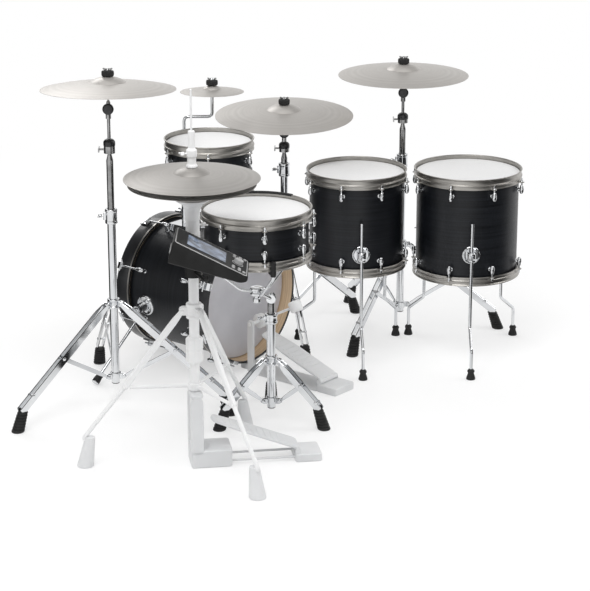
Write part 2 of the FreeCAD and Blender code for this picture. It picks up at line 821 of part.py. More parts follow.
def floor_tom(label, size):
    """A floor tom and its three legs, which stay on the floor while the drum slides on them."""
    plan = spot(size + "_x", size + "_y")
    stand = "%s_top - rim_rise - %s_depth" % (size, size)
    place = plan.multiply(local(z=stand))
    radius = size + "_radius"
    brackets = []
    for number in (1, 2, 3):
        name = "%s_leg_%d" % (size, number)
        side = plan.multiply(local(turn=name))
        bracket_place = side.multiply(local(z=size + "_bracket"))
        brackets.append(shell_bracket(name + "_bracket", bracket_place, radius, "leg_rod_radius",
                                      "leg_reach"))
        bolt_place = bracket_place.multiply(local("%s + 2 * leg_reach" % radius))
        brackets.append(wing_bolt(name + "_bolt", bolt_place))
        near = value("%s + leg_reach" % radius)
        far = value("%s + leg_foot_reach" % radius)
        run = [(near, size + "_leg_top"), (near, "leg_high_knee"), (far, "leg_low_knee"),
               (far, "small_foot_height")]
        points = [Vector(x, 0, value(z)) for x, z in run]
        rod = bent_rod(points, value("leg_rod_radius"), value("leg_bend"))
        floor_legs.append(shaped(name, side, rod))
        floor_feet.append(foot(name + "_foot", side.multiply(local(far)), "small_foot"))
    phase = value("%s_leg_1 + 180 / %s_lugs" % (size, size))
    drum(label, size, place, phase, brackets)


# Bass drum


def bass_drum():
    axis = spot(0, 0, "kick_axis")
    edge = "-(kick_depth + 2 * hoop_proud)"
    along = Rotation(ALONG, -90)
    batter = axis.multiply(Placement(Vector(0, value(edge + " + hoop_proud"), 0), along))
    front = batter.multiply(local(z="kick_depth"))
    back = batter.multiply(Placement(Vector(), FLIP))
    radius = "kick_radius"
    node("kick_shell", [turned("kick_shell", batter, ring_outline("kick_radius - kick_wall", radius, "0",
                                                                  "kick_depth"))])
    wood = "kick_radius + hoop_gap + hoop_wood"
    hoop = ring_outline("kick_radius + hoop_gap", wood, "hoop_proud - hoop_width", "hoop_proud")
    node("kick_hoops", [turned("kick_front_hoop", front, hoop), turned("kick_batter_hoop", back, hoop)])
    node("kick_heads", [head("kick_front_head", front, radius), head("kick_batter_head", back, radius)]
         + sensor("kick_sensor", back, radius, "kick_wall"))
    circle = "kick_radius + kick_rod_reach"
    claw = padded("kick_claw_plate", local(), [
        (wood + " - claw_lip - kick_radius", "hoop_proud + fit_gap"), (wood + " + fit_gap - kick_radius",
                                                                       "hoop_proud + fit_gap"),
        (wood + " + fit_gap - kick_radius", "hoop_proud - claw_length"),
        (wood + " + claw_ear - kick_radius", "hoop_proud - claw_length"),
        (wood + " + claw_ear - kick_radius", "hoop_proud - claw_length + claw_metal"),
        (wood + " + claw_metal - kick_radius", "hoop_proud - claw_length + claw_metal"),
        (wood + " + claw_metal - kick_radius", "hoop_proud + claw_metal"),
        (wood + " - claw_lip - kick_radius", "hoop_proud + claw_metal")], "claw_width", "XZ_Plane")
    bore = cylinder("kick_claw_bore", local("kick_rod_reach", 0, "hoop_proud - claw_length - cut_over"),
                    "kick_rod_radius + clearance", "claw_metal + 2 * cut_over")
    hook = cut("kick_claw", claw, bore)
    seat = "hoop_proud - claw_length + claw_metal"
    shaft_low = "-kick_lug_gap - lug_length / 2"
    shaft = cylinder("kick_rod_shaft", local("kick_rod_reach", 0, shaft_low), "rod_radius",
                     "%s + kick_rod_radius - (%s)" % (seat, shaft_low))
    grip = cylinder("kick_rod_grip_bar", local("kick_rod_reach", "-kick_rod_grip / 2",
                                               "%s + kick_rod_radius + fit_gap" % seat, ALONG, -90),
                    "kick_rod_radius", "kick_rod_grip")
    key = fuse("kick_key_rod", [shaft, grip])
    phase = 180 / value("kick_lugs")
    hooks = around(front, radius, 0, "kick_lugs", phase) + around(back, radius, 0, "kick_lugs", phase)
    lugs = around(front, circle, "-kick_lug_gap", "kick_lugs", phase)
    lugs += around(back, circle, "-kick_lug_gap", "kick_lugs", phase)
    hardware = [copies("kick_lugs", lug("kick_lug", "kick_rod_reach"), lugs),
                copies("kick_claws", hook, hooks), copies("kick_keys", key, hooks)]
    for side, sign in (("left", -1), ("right", 1)):
        hardware.append(spur(side, sign))
    node("kick_hardware", hardware)


def spur(side, sign):
    """One spur bracket, and the spur that folds round its pin as a node of its own."""
    upright = spot(0, "spur_y", "kick_axis", 90 - 90 * sign)
    slope = local(axis=ACROSS, turn="spur_drop")
    place = upright.multiply(slope)
    out = Rotation(ACROSS, 90)
    name = "kick_spur_" + side

    def disc(part, start, radius, width):
        away = Placement(Vector(value(start), 0, 0), out)
        return cylinder(name + part, place.multiply(away), radius, width)

    face = "kick_radius + spur_disc_height"
    eye_start = face + " + spur_boss_height + clearance"
    eye_end = eye_start + " + spur_eye_width"
    plate = disc("_plate", "kick_radius - spur_disc_height", "spur_disc_radius", "2 * spur_disc_height")
    boss = disc("_boss", face, "spur_boss_radius", "spur_boss_height")
    pin = disc("_pin", face, "spur_pin_radius", "spur_boss_height + spur_eye_width + 3 * clearance")
    cap = disc("_cap", eye_end + " + clearance", "spur_pin_radius + claw_metal", "claw_metal")
    half = "spur_disc_radius + cut_over"
    shell = cylinder(name + "_seat", place.multiply(local(0, half, 0, ALONG, 90)), "kick_radius + fit_gap",
                     "2 * (%s)" % half)
    bracket = cut(name + "_bracket", fuse(name + "_solid", [plate, boss, pin, cap]), shell)
    eye = disc("_eye", eye_start, "spur_eye_radius", "spur_eye_width")
    bore = disc("_bore", eye_start + " - cut_over", "spur_pin_radius + fit_gap",
                "spur_eye_width + 2 * cut_over")
    hinge = value(eye_start + " + spur_eye_width / 2")
    down = slope.Rotation.multVec(Vector(0, 0, -1))
    centre = slope.multVec(Vector(hinge, 0, 0))
    start = centre + down * value("spur_pin_radius + claw_metal + 4 * clearance")
    neck = centre + down * value("spur_neck")
    lean = math.radians(value("spur_%s_lean" % side))
    stride = math.radians(sign * value("spur_%s_stride" % side))
    away = Vector(math.sin(lean) * math.cos(stride), math.sin(lean) * math.sin(stride), -math.cos(lean))
    drop = value("kick_axis") + neck.z - value("small_foot_radius") * math.sin(lean)
    tip = neck + away * (drop / math.cos(lean))
    points = [start, neck, tip - away * value("small_foot_height")]
    rod = shaped(name + "_rod", upright, bent_rod(points, value("spur_rod_radius"), value("spur_neck / 2")))
    leg = cut(name + "_leg", fuse(name + "_blank", [eye, rod]), bore)
    tip_place = upright.multiply(Placement(tip, Rotation(UP, -away)))
    node(name, [leg, foot(name + "_tip", tip_place, "small_foot")])
    return bracket


# Tripods and cymbal stands


def tripod(name, size, plan, tube_top, open_pivot=False):
    """A tripod's tube, hub, legs, feet, braces and lower collar, each as a list of pieces."""
    hub_z, collar_z = size + "_hub", size + "_collar"
    bore = "tube_radius + fit_gap"
    tube = turned(name + "_tube", plan.multiply(local(z="%s - collar_height" % collar_z)), ring_outline(
        "tube_radius - tube_wall", "tube_radius", "0", "%s - %s + collar_height" % (tube_top, collar_z)))
    hub_place = plan.multiply(local(z="%s - hub_height / 2" % hub_z))
    hub = [turned(name + "_hub_ring", hub_place, ring_outline(bore, "hub_radius", "0", "hub_height"))]
    collar_place = plan.multiply(local(z="%s - collar_height / 2" % collar_z))
    collar = [turned(name + "_collar_ring", collar_place, ring_outline(bore, "collar_radius", "0",
                                                                      "collar_height"))]
    legs, braces, feet = [], [], []
    pivot = value("pivot_radius"), value(hub_z)
    spread = value(size + "_spread")
    knee = spread, value("foot_height + tripod_knee")
    toe = spread, value("foot_height")
    share = value("brace_share")
    joint = tuple(a + share * (b - a) for a, b in zip(pivot, knee))
    anchor = value("collar_pivot"), value(collar_z)
    pin, gap = value("pin_radius"), value("fit_gap")
    half = value("tongue_width") / 2 + value("clearance")
    metal, wide = value("bar_metal"), value("bar_width")
    cheek_root, cheek_end = "tube_radius + tube_wall", "collar_pivot + 2 * pin_radius"
    for step in range(3):
        side = plan.multiply(Placement(Vector(), Rotation(UP, value(size + "_phase") + 120 * step)))
        tag = "%s_%d" % (name, step + 1)
        tongue = box(tag + "_tongue", side.multiply(local("(tube_radius + tube_wall + pivot_radius) / 2", 0,
                                                          "%s - hub_height / 3" % hub_z)),
                     "pivot_radius - tube_radius - tube_wall", "tongue_width", "2 * hub_height / 3")
        end = cylinder(tag + "_knuckle", side.multiply(local("pivot_radius", "tongue_width / 2", hub_z,
                                                             ALONG, 90)), "hub_height / 3",
                       "tongue_width")
        span = "tongue_width + 2 * clearance + 4 * bar_metal"
        pivot_pin = cylinder(tag + "_pin", side.multiply(local("pivot_radius", "(%s) / 2" % span, hub_z,
                                                               ALONG, 90)), "pin_radius", span)
        hub += [tongue, end, pivot_pin]
        hole = [(pivot[0], pivot[1], pin + gap)]
        bars = []
        for start in (half, -half - metal):
            bars.append(flat_bar([pivot, knee, toe], wide, start, metal, hole, square_end=True))
        cross = Part.makeCylinder(pin, 2 * (half + metal), Vector(joint[0], -half - metal, joint[1]), ACROSS)
        legs.append(shaped(tag + "_leg", side, bars[0].multiFuse([bars[1], cross]).removeSplitter()))
        feet.append(foot(tag + "_foot", side.multiply(local(spread))))
        thick = value("brace_metal")
        ends = [(joint[0], joint[1], pin + gap), (anchor[0], anchor[1], pin + gap)]
        brace = flat_bar([joint, anchor], value("brace_width"), -thick / 2, thick, ends)
        braces.append(shaped(tag + "_brace", side, brace))
        inner = "brace_metal / 2 + clearance"
        for cheek_side, start in (("a", inner), ("b", "-(%s) - cheek_metal" % inner)):
            cheek_place = side.multiply(local("(%s + %s) / 2" % (cheek_end, cheek_root),
                                              "%s + cheek_metal / 2" % start,
                                              "%s - collar_height / 2" % collar_z))
            cheek_length = "%s - (%s)" % (cheek_end, cheek_root)
            collar.append(box(tag + "_cheek_" + cheek_side, cheek_place, cheek_length, "cheek_metal",
                              "collar_height"))
        if not open_pivot:
            reach = "brace_metal + 2 * clearance + 2 * cheek_metal"
            collar.append(cylinder(tag + "_collar_pin", side.multiply(local(
                "collar_pivot", "(%s) / 2" % reach, collar_z, ALONG, 90)), "pin_radius", reach))
    return {"tube": [tube], "hub": [fuse(name + "_hub", hub)],
            "collar": [fuse(name + "_collar", collar)], "legs": legs, "braces": braces, "feet": feet}


def tube_clamp(name, plan, height, length):
    """The clamp on top of a tube, with its wing bolt towards the left of the view."""
    place = plan.multiply(local(z="%s - %s / 2" % (height, length)))
    ring = turned(name + "_ring", place, ring_outline("tube_radius + fit_gap", "clamp_radius", "0", length))
    bolt = plan.multiply(local(z=height, turn="view_turn + 180")).multiply(local("clamp_radius"))
    return [ring, wing_bolt(name + "_bolt", bolt)]


def cymbal(name, place, radius, kind=""):
    """A cymbal with its edge on z = 0: a bow up to the bell, and the bell up to the hole."""
    bell, bell_rise, bow_rise = kind + "bell_radius", kind + "bell_rise", kind + "bow_rise"
    top = "%s + %s" % (bow_rise, bell_rise)
    small = kind if kind == "splash_" else ""
    bow_sag, bell_sag = small + "bow_sag", small + "bell_sag"
    return turned(name, place, [
        ("cymbal_hole", top + " - cymbal_metal", "-" + bell_sag),
        (bell, bow_rise + " - cymbal_metal", "-" + bow_sag),
        (radius, "-cymbal_metal / 2"), (radius, "0", bow_sag), (bell, bow_rise, bell_sag),
        ("cymbal_hole", top)])


def cymbal_seat(name, place, rise, cap="top_felt"):
    """Felts, cup, sleeve and wing nut on a cymbal rod, round the hole of a cymbal with its edge on z = 0."""
    bore = "cymbal_rod_radius + fit_gap"
    under = "%s - cymbal_metal - seat_play" % rise
    over = "%s + seat_play" % rise
    felt_low = under + " - felt_height"
    cup = turned(name + "_cup", place, ring_outline(bore, "cup_radius", felt_low + " - cup_height", felt_low))
    felt = turned(name + "_felt", place, [
        (bore, felt_low), ("felt_radius", felt_low), ("felt_radius", under), ("sleeve_radius", under),
        ("sleeve_radius", over), (bore, over)])
    top = "%s + %s_height" % (over, cap)
    upper = turned(name + "_top", place, ring_outline(bore, cap + "_radius", over, top))
    nut = [turned(name + "_nut_body", place, ring_outline(bore, "wing_nut_radius", top,
                                                          top + " + wing_nut_height"))]
    for side in (-1, 1):
        wing_place = place.multiply(local("%d * (wing_nut_radius + wing_height / 2 - bite)" % side, 0,
                                          top + " + wing_nut_height / 3"))
        nut.append(box("%s_wing_%d" % (name, side), wing_place, "wing_height", "wing_metal",
                       "wing_nut_height"))
    return [cup, felt, upper, fuse(name + "_nut", nut)]


def cymbal_stand(label, size, plan):
    """The sliding post, tilter and cymbal above a stand's lower tube."""
    clamp, top, pivot = size + "_clamp", size + "_post_top", size + "_pivot"
    low = "%s - post_inside" % clamp
    rod_top = "%s - tilter_radius - tilter_width / 2" % pivot
    wide = "post_radius - slide_gap"
    tube = turned(label + "_post_tube", plan, [
        ("0", low), (wide, low), (wide, "%s - top_clamp_height" % top), ("top_rod_radius", top),
        ("top_rod_radius", rod_top), ("0", rod_top)])
    knob = turned(label + "_post_clamp", plan, ring_outline("top_rod_radius + fit_gap", "top_clamp_radius",
                                                          top, top + " + top_clamp_height"))
    bolt = plan.multiply(local(z=top + " + top_clamp_height / 2", turn="view_turn + 180"))
    lever = wing_bolt(label + "_post_lever", bolt.multiply(local("top_clamp_radius")))
    facing = plan.multiply(local(z=pivot, turn="view_turn"))
    lean = facing.multiply(local(axis=ALONG, turn="-%s_lean" % size))
    back_place = lean.multiply(local(0, "-fit_gap - clearance / 2", 0, ALONG, 90))
    back_disc = cylinder(label + "_ratchet", back_place, "tilter_radius", "tilter_width")
    neck = cylinder(label + "_neck", lean.multiply(local(0, "-tilter_width / 2 - clearance", "-tilter_neck")),
                    "tilter_neck_radius", "tilter_neck")
    room_place = lean.multiply(local(0, "tilter_width + 2 * clearance", 0, ALONG, 90))
    room = cylinder(label + "_ratchet_room", room_place, "tilter_radius + clearance",
                    "tilter_width + 2 * clearance + fit_gap - clearance / 2")
    post = fuse(label + "_post_solid", [tube, cut(label + "_neck_cut", neck, room), back_disc])
    node(label + "_post", [post, knob, lever])
    middle = "(clearance + tilter_width) / 2"
    front_place = lean.multiply(local(0, "clearance / 2 + tilter_width", 0, ALONG, 90))
    front_disc = cylinder(label + "_ratchet_front", front_place, "tilter_radius", "tilter_width")
    rise = "bow_rise + bell_rise"
    reach = "cymbal_seat + %s + seat_play + top_felt_height + wing_nut_height + cymbal_rod_proud" % rise
    rod = cylinder(label + "_cymbal_rod", lean.multiply(local(0, middle)), "cymbal_rod_radius", reach)
    seat = lean.multiply(local(0, middle, "cymbal_seat"))
    node(label + "_tilter", [fuse(label + "_tilter_solid", [front_disc, rod])]
         + cymbal_seat(label + "_seat", seat, rise))
    return seat


def fixed_stand(label, size):
    """A cymbal stand whose tripod stays open, with its sliding post, tilter and cymbal."""
    plan = spot(size + "_stand_x", size + "_stand_y")
    legs = tripod(label, size, plan, size + "_clamp")
    clamp = tube_clamp(label + "_clamp", plan, size + "_clamp", "clamp_height")
    held = legs["hub"] + legs["collar"] + legs["legs"] + legs["braces"]
    node(label + "_base", legs["tube"] + held + clamp)
    floor_feet.extend(legs["feet"])
    return cymbal_stand(label, size, plan)


def folding_stand(label, size):
    """The stand whose hub, legs and braces are separate links."""
    plan = spot(size + "_stand_x", size + "_stand_y")
    legs = tripod(label, size, plan, size + "_clamp", open_pivot=True)
    clamp = tube_clamp(label + "_clamp", plan, size + "_clamp", "clamp_height")
    node(label + "_base", legs["tube"] + legs["collar"] + clamp)
    node(label + "_hub", legs["hub"])
    for number, (leg, brace, rubber) in enumerate(zip(legs["legs"], legs["braces"], legs["feet"]), start=1):
        node("%s_leg_%d" % (label, number), [leg, rubber])
        node("%s_brace_%d" % (label, number), [brace])
    return cymbal_stand(label, size, plan)


# Tom holder, rack tom and splash


def tom_holder():
    """The post on the bass drum with the arm that carries the rack tom, and the tom's hinge bracket."""
    post = spot("holder_x", "holder_y")
    bottom = value("kick_axis") + math.sqrt(value("kick_radius") ** 2 - value("holder_x") ** 2)
    reach = value("holder_plate_width / 2 - holder_x")
    low = value("kick_axis") + math.sqrt(value("kick_radius") ** 2 - reach ** 2)
    plate_top = bottom + value("holder_plate_height")
    slab = box("tom_holder_slab", post.multiply(local(z=low)), "holder_plate_width", "holder_plate_length",
               repr(plate_top - low))
    shell = cylinder("tom_holder_seat", spot(0, "holder_y + holder_plate_length", "kick_axis").multiply(
        local(axis=ALONG, turn=90)), "kick_radius + fit_gap", "2 * holder_plate_length")
    mast_low = plate_top - value("bite")
    mast = cylinder("tom_holder_mast", post.multiply(local(z=mast_low)), "tube_radius",
                    "holder_post_top - %r" % mast_low)
    away = Vector(value("rack_x - holder_x"), value("rack_y - holder_y"), 0)
    heading = math.degrees(math.atan2(away.y, away.x))
    span = away.Length - value("rack_radius + rack_hinge_reach")
    arm_place = post.multiply(local(z="holder_arm_height", turn=heading))
    arm = cylinder("tom_holder_arm", arm_place.multiply(local(axis=ACROSS, turn=90)), "holder_arm_radius",
                   repr(span - value("rack_hinge_radius") / 2))
    hinge = arm_place.multiply(local(span))
    eye = cylinder("tom_holder_eye", hinge.multiply(local(0, "rack_hinge_width / 2", 0, ALONG, 90)),
                   "rack_hinge_radius", "rack_hinge_width")
    half = "rack_hinge_width / 2 + cut_over"
    bore = cylinder("tom_holder_bore", hinge.multiply(local(0, half, 0, ALONG, 90)), "pin_radius + fit_gap",
                    "2 * (%s)" % half)
    collar_place = post.multiply(local(z="holder_arm_height - holder_clamp_height / 2"))
    collar = cylinder("tom_holder_collar", collar_place, "holder_clamp_radius", "holder_clamp_height")
    base = cut("tom_holder_base", slab, shell)
    frame = fuse("tom_holder_frame", [base, mast, collar, arm, eye])
    socket = cylinder("tom_holder_socket", post.multiply(local(z="holder_post_top - splash_pivot_height")),
                      "splash_arm_radius + fit_gap", "splash_pivot_height + cut_over")
    node("tom_holder", [cut("tom_holder_solid", frame, fuse("tom_holder_tools", [bore, socket]))])
    return hinge


def rack_tom(hinge):
    place = spot("rack_x", "rack_y", "rack_top - rim_rise - rack_depth")
    hinge_reach = "rack_hinge_reach"
    plate = box("rack_bracket_plate", hinge.multiply(local("rack_hinge_reach - bracket_plate / 2", 0,
                                                           "-rack_plate_height / 2")),
                "bracket_plate", "rack_plate_width", "rack_plate_height")
    cheeks = []
    start = "rack_hinge_width / 2 + clearance"
    length = hinge_reach + " + rack_hinge_radius"
    for side in (-1, 1):
        cheeks.append(box("rack_cheek_%d" % side, hinge.multiply(local(
            "(%s) / 2 - rack_hinge_radius" % length, "%d * (%s + rack_cheek / 2)" % (side, start),
            "-rack_hinge_radius")), length, "rack_cheek", "2 * rack_hinge_radius"))
    width = "rack_hinge_width + 2 * clearance + 2 * rack_cheek"
    pin = cylinder("rack_hinge_pin", hinge.multiply(local(0, "(%s) / 2" % width, 0, ALONG, 90)),
                   "pin_radius", width)
    seat = cylinder("rack_bracket_seat", place, "rack_radius + fit_gap", "rack_depth")
    bracket = cut("rack_bracket", fuse("rack_bracket_solid", [plate, pin] + cheeks), seat)
    drum("rack_tom", "rack", place, "view_turn + rack_lug_phase", [bracket])


def splash():
    """The bent arm in the top of the tom holder's post and the splash on its end."""
    post = spot("holder_x", "holder_y")
    across = Vector(value("splash_x - holder_x"), value("splash_y - holder_y"), 0)
    step = value("splash_arm_step")
    rise = "splash_bow_rise + splash_bell_rise"
    base = value("splash_edge + %s - cymbal_metal - seat_play - felt_height - cup_height" % rise)
    points = [Vector(0, 0, value("holder_post_top - splash_pivot_height + clearance")), Vector(0, 0, step),
              across + Vector(0, 0, step), across + Vector(0, 0, base - value("splash_neck"))]
    rod = shaped("splash_arm_rod", post, bent_rod(points, value("splash_arm_radius"), value("splash_bend")))
    ring = turned("splash_arm_ring", post, ring_outline("splash_arm_radius - bite", "splash_pivot_radius",
                                                        "holder_post_top + clearance",
                                                        "holder_post_top + splash_pivot_height"))
    lean = spot("splash_x", "splash_y", "splash_edge", "view_turn").multiply(
        local(axis=ALONG, turn="-splash_lean"))
    low = "%s - cymbal_metal - seat_play - felt_height - cup_height - splash_neck - 2 * bite" % rise
    top = "%s + seat_play + splash_cap_height + wing_nut_height" % rise
    stud = cylinder("splash_stud", lean.multiply(local(z=low)), "cymbal_rod_radius", "%s - (%s)" % (top, low))
    node("splash_arm", [fuse("splash_arm_solid", [rod, ring, stud])]
         + cymbal_seat("splash_seat", lean, rise, "splash_cap"))
    node("splash_cymbal", [cymbal("splash_cymbal", lean, "splash_radius", "splash_")])


# Snare and its stand


def snare():
    plan = spot("snare_stand_x", "snare_stand_y")
    legs = tripod("snare_stand", "snare", plan, "snare_clamp")
    clamp = tube_clamp("snare_clamp", plan, "snare_clamp", "snare_clamp_height")
    held = legs["hub"] + legs["collar"] + legs["legs"] + legs["braces"]
    node("snare_stand_base", legs["tube"] + held + clamp)
    floor_feet.extend(legs["feet"])
    pivot = plan.multiply(local(z="basket_pivot", turn="view_turn + 180"))
    low = "snare_clamp - snare_post_inside"
    stem_top = "basket_pivot - tilter_radius - 3 * clearance"
    stem = turned("snare_post_stem", plan, [
        ("0", low), ("post_radius - slide_gap", low), ("post_radius - slide_gap", stem_top), ("0", stem_top)])
    fork = cylinder("snare_post_ratchet", pivot.multiply(local(0, "-clearance / 2", 0, ALONG, 90)),
                    "tilter_radius", "2 * tilter_width")
    stalk = cylinder("snare_post_stalk", pivot.multiply(local(0, "-clearance / 2 - tilter_width",
                                                              "-tilter_radius - tilter_width")),
                     "tilter_width - clearance", "tilter_radius + tilter_width")
    node("snare_stand_post", [fuse("snare_post_solid", [stem, stalk, fork])])
    drum_place = spot("snare_x", "snare_y", "snare_bottom")
    floor_of_drum = value("snare_bottom - low_rim_rise")
    centre = spot("snare_x", "snare_y")
    shift = centre.Base - plan.Base
    disc_place = pivot.multiply(local(0, "clearance / 2 + 2 * tilter_width", 0, ALONG, 90))
    disc = cylinder("basket_ratchet", disc_place, "tilter_radius", "2 * tilter_width")
    arm_height = value("basket_height")
    neck = shaped("basket_neck", plan, bent_rod([
        pivot.multVec(Vector(0, value("clearance / 2 + tilter_width"), 0)) - plan.Base,
        Vector(shift.x, shift.y, arm_height)], value("tilter_width - clearance")))
    hub = cylinder("basket_hub", centre.multiply(local(z=arm_height - value("basket_hub_height") / 2)),
                   "basket_hub_radius", "basket_hub_height")
    arms, rubbers = [], []
    ring = value("snare_radius + rim_overhang")
    out = ring + value("basket_grip_radius + clearance")
    for step in range(3):
        side = centre.multiply(local(turn="view_turn + basket_phase + 120 * %d" % step))
        name = "basket_arm_%d" % (step + 1)
        points = [Vector(0, 0, arm_height), Vector(value("basket_hub_reach"), 0, arm_height),
                  Vector(out, 0, floor_of_drum - value("basket_pad_height + 2 * basket_rod_radius")),
                  Vector(out, 0, floor_of_drum)]
        arms.append(shaped(name, side, bent_rod(points, value("basket_rod_radius"),
                                          value("basket_bend"))))
        grip = turned(name + "_grip", side.multiply(local(out, 0, floor_of_drum)), [
            ("0", "0"), ("basket_grip_radius", "0"), ("basket_grip_radius", "basket_grip_height"),
            ("0", "basket_grip_height")])
        pad = cylinder(name + "_pad", side.multiply(local(ring - value("basket_pad_radius"), 0,
                                                          floor_of_drum - value("basket_pad_height"))),
                       "basket_pad_radius", "basket_pad_height")
        rubbers += [grip, pad]
    node("snare_basket", [fuse("basket_frame", [disc, neck, hub] + arms)] + rubbers)
    drum("snare", "snare", drum_place, "view_turn + snare_lug_phase", [])


# Hi-hat


def hihat():
    place = spot("hihat_x", "hihat_y", 0, "hihat_turn")
    pieces = []
    bore = "hihat_rod_radius + slide_gap"
    pieces.append(turned("hihat_tube", place, ring_outline(bore, "hihat_tube_radius", "hihat_tube_bottom",
                                                           "hihat_tube_top")))
    pieces.append(turned("hihat_upper_tube", place, ring_outline(bore, "hihat_collar_radius",
                                                                 "hihat_tube_top", "hihat_collar_top")))
    outer = "hihat_tube_radius + fit_gap"
    pieces.append(turned("hihat_block", place, ring_outline(outer, "hihat_block_radius", "hihat_block_bottom",
                                                            "hihat_block_top")))
    pieces.append(turned("hihat_seat", place, [
        (bore, "hihat_collar_top"), ("hihat_collar_radius", "hihat_collar_top"),
        ("hihat_seat_radius", "hihat_felt_low"), (bore, "hihat_felt_low")]))
    pieces.append(turned("hihat_seat_felt", place, ring_outline(bore, "hihat_seat_felt_radius",
                                                                "hihat_felt_low", "hihat_felt_top")))
    wing_side = place.multiply(local(z="hihat_tube_top + hihat_wing_rise", turn="hihat_wing_turn"))
    pieces.append(wing_bolt("hihat_wing", wing_side.multiply(local("hihat_collar_radius"))))
    hub = [turned("hihat_hub_ring", place.multiply(local(z="hihat_hub - hihat_hub_height / 2")), ring_outline(
        outer, "hihat_tube_radius + hihat_hub_wall", "0", "hihat_hub_height"))]
    collar = [turned("hihat_collar_ring", place.multiply(local(z="hihat_brace - hihat_brace_height / 2")),
                     ring_outline(outer, "hihat_tube_radius + hihat_brace_wall", "0", "hihat_brace_height"))]
    start = value("hihat_tube_radius + hihat_hub_wall + hihat_leg_width / 2 + clearance"), value("hihat_hub")
    toe = value("hihat_spread"), value("hihat_foot_height")
    share = (start[1] - value("hihat_brace")) / (start[1] - toe[1])
    joint = tuple(a + share * (b - a) for a, b in zip(start, toe))
    half = value("hihat_leg_metal") / 2
    slope = (toe[0] - start[0]) / (start[1] - toe[1])
    leg_side = value("hihat_leg_width / 2") * math.hypot(1, slope) + value("hihat_leg_rod_radius") * slope
    brace_end = joint[0] - leg_side - value("clearance")
    brace_start = "hihat_tube_radius + hihat_brace_wall / 2"
    ear_middle = "hihat_tube_radius + (hihat_hub_wall + hihat_ear_length) / 2"
    for step in range(3):
        side = place.multiply(local(turn="hihat_phase + 120 * %d" % step))
        tag = "hihat_leg_%d" % (step + 1)
        upper = flat_bar([start, joint], value("hihat_leg_width"), -half, 2 * half)
        run = [Vector(joint[0], 0, joint[1]), Vector(toe[0], 0, toe[1] + value("hihat_leg_knee")),
               Vector(toe[0], 0, toe[1])]
        lower = bent_rod(run, value("hihat_leg_rod_radius"), value("hihat_leg_bend"))
        pieces.append(shaped(tag, side, upper.fuse(lower).removeSplitter()))
        for ear, sign in (("a", 1), ("b", -1)):
            edge = sign * (half + value("clearance + bar_metal / 2"))
            ear_place = side.multiply(local(ear_middle, edge, "hihat_hub - hihat_ear_height / 2"))
            hub.append(box(tag + "_ear_" + ear, ear_place, "hihat_ear_length", "bar_metal",
                           "hihat_ear_height"))
        brace_place = side.multiply(local(brace_start, 0, "hihat_brace", ACROSS, 90))
        collar.append(cylinder(tag + "_brace", brace_place, "hihat_leg_rod_radius",
                               repr(brace_end - value(brace_start))))
        floor_feet.append(foot(tag + "_foot", side.multiply(local(toe[0])), "hihat_foot"))
    pieces += [fuse("hihat_hub", hub), fuse("hihat_lower_collar", collar)]
    pieces += pedal_frame("hihat", place, "hihat_heel")
    node("hihat_stand_frame", pieces)
    rise = "hat_bow_rise + hat_bell_rise"
    top = place.multiply(local(z="hihat_edge"))
    low = place.multiply(local(z="hihat_edge - hihat_gap", axis=ALONG, turn=180))
    node("hihat_bottom_cymbal", [cymbal("hihat_bottom_cymbal", low, "hat_low_radius", "hat_")])
    node("hihat_top_cymbal", [cymbal("hihat_top_cymbal", top, "hat_radius", "hat_")])
    rod = cylinder("hihat_rod", place.multiply(local(z="hihat_rod_bottom")), "hihat_rod_radius",
                   "hihat_rod_top - hihat_rod_bottom")
    tight = "hihat_rod_radius + fit_gap"
    over = "hihat_edge + %s + fit_gap" % rise
    under = "hihat_edge + %s - cymbal_metal - clearance" % rise
    flange_top = over + " + clutch_flange"
    clutch_top = over + " + clutch_height"
    clutch = turned("hihat_clutch", place, [
        (tight, over), ("clutch_flange_radius", over), ("clutch_flange_radius", flange_top),
        ("clutch_radius", flange_top), ("clutch_radius", clutch_top), (tight, clutch_top)])
    felt = turned("hihat_clutch_felt", place, ring_outline(tight, "felt_radius", under + " - felt_height",
                                                           under))
    node("hihat_pull_rod", [rod, clutch, felt])
    node("hihat_footboard", footboard("hihat", place, "hihat_heel", "hihat_board_length",
                                      "hihat_board_rise"))


def pedal_frame(name, place, heel):
    """The base block, the two side plates, the heel plate and the radius rods of the hi-hat's pedal."""
    pieces = []
    for side in (-1, 1):
        plate = box("%s_side_%d" % (name, side), place.multiply(local(
            0, "%d * frame_half_width" % side, "frame_base_height")), "frame_depth", "frame_metal",
            "frame_top - frame_base_height")
        pieces.append(plate)
    bridge = box(name + "_bridge", place.multiply(local(z="frame_top")), "frame_depth",
                 "2 * frame_half_width + frame_metal", "frame_metal")
    hole = cylinder(name + "_bridge_hole", place.multiply(local(z="frame_top - cut_over")),
                    "hihat_tube_radius + fit_gap", "frame_metal + 2 * cut_over")
    base = box(name + "_base", place.multiply(local("(frame_base_length - frame_depth) / 2")),
               "frame_base_length", "2 * frame_half_width + frame_metal", "frame_base_height")
    pieces += [cut(name + "_bridge_plate", bridge, hole), base]
    start = "frame_base_length - frame_depth / 2"
    for side in (-1, 1):
        pieces.append(cylinder("%s_radius_rod_%d" % (name, side), place.multiply(local(
            start, "%d * radius_rod_half_span" % side, "heel_height / 2", ACROSS, 90)), "radius_rod_radius",
            "%s - heel_length / 2 - (%s)" % (heel, start)))
    return pieces + heel_plate(name, place, heel)


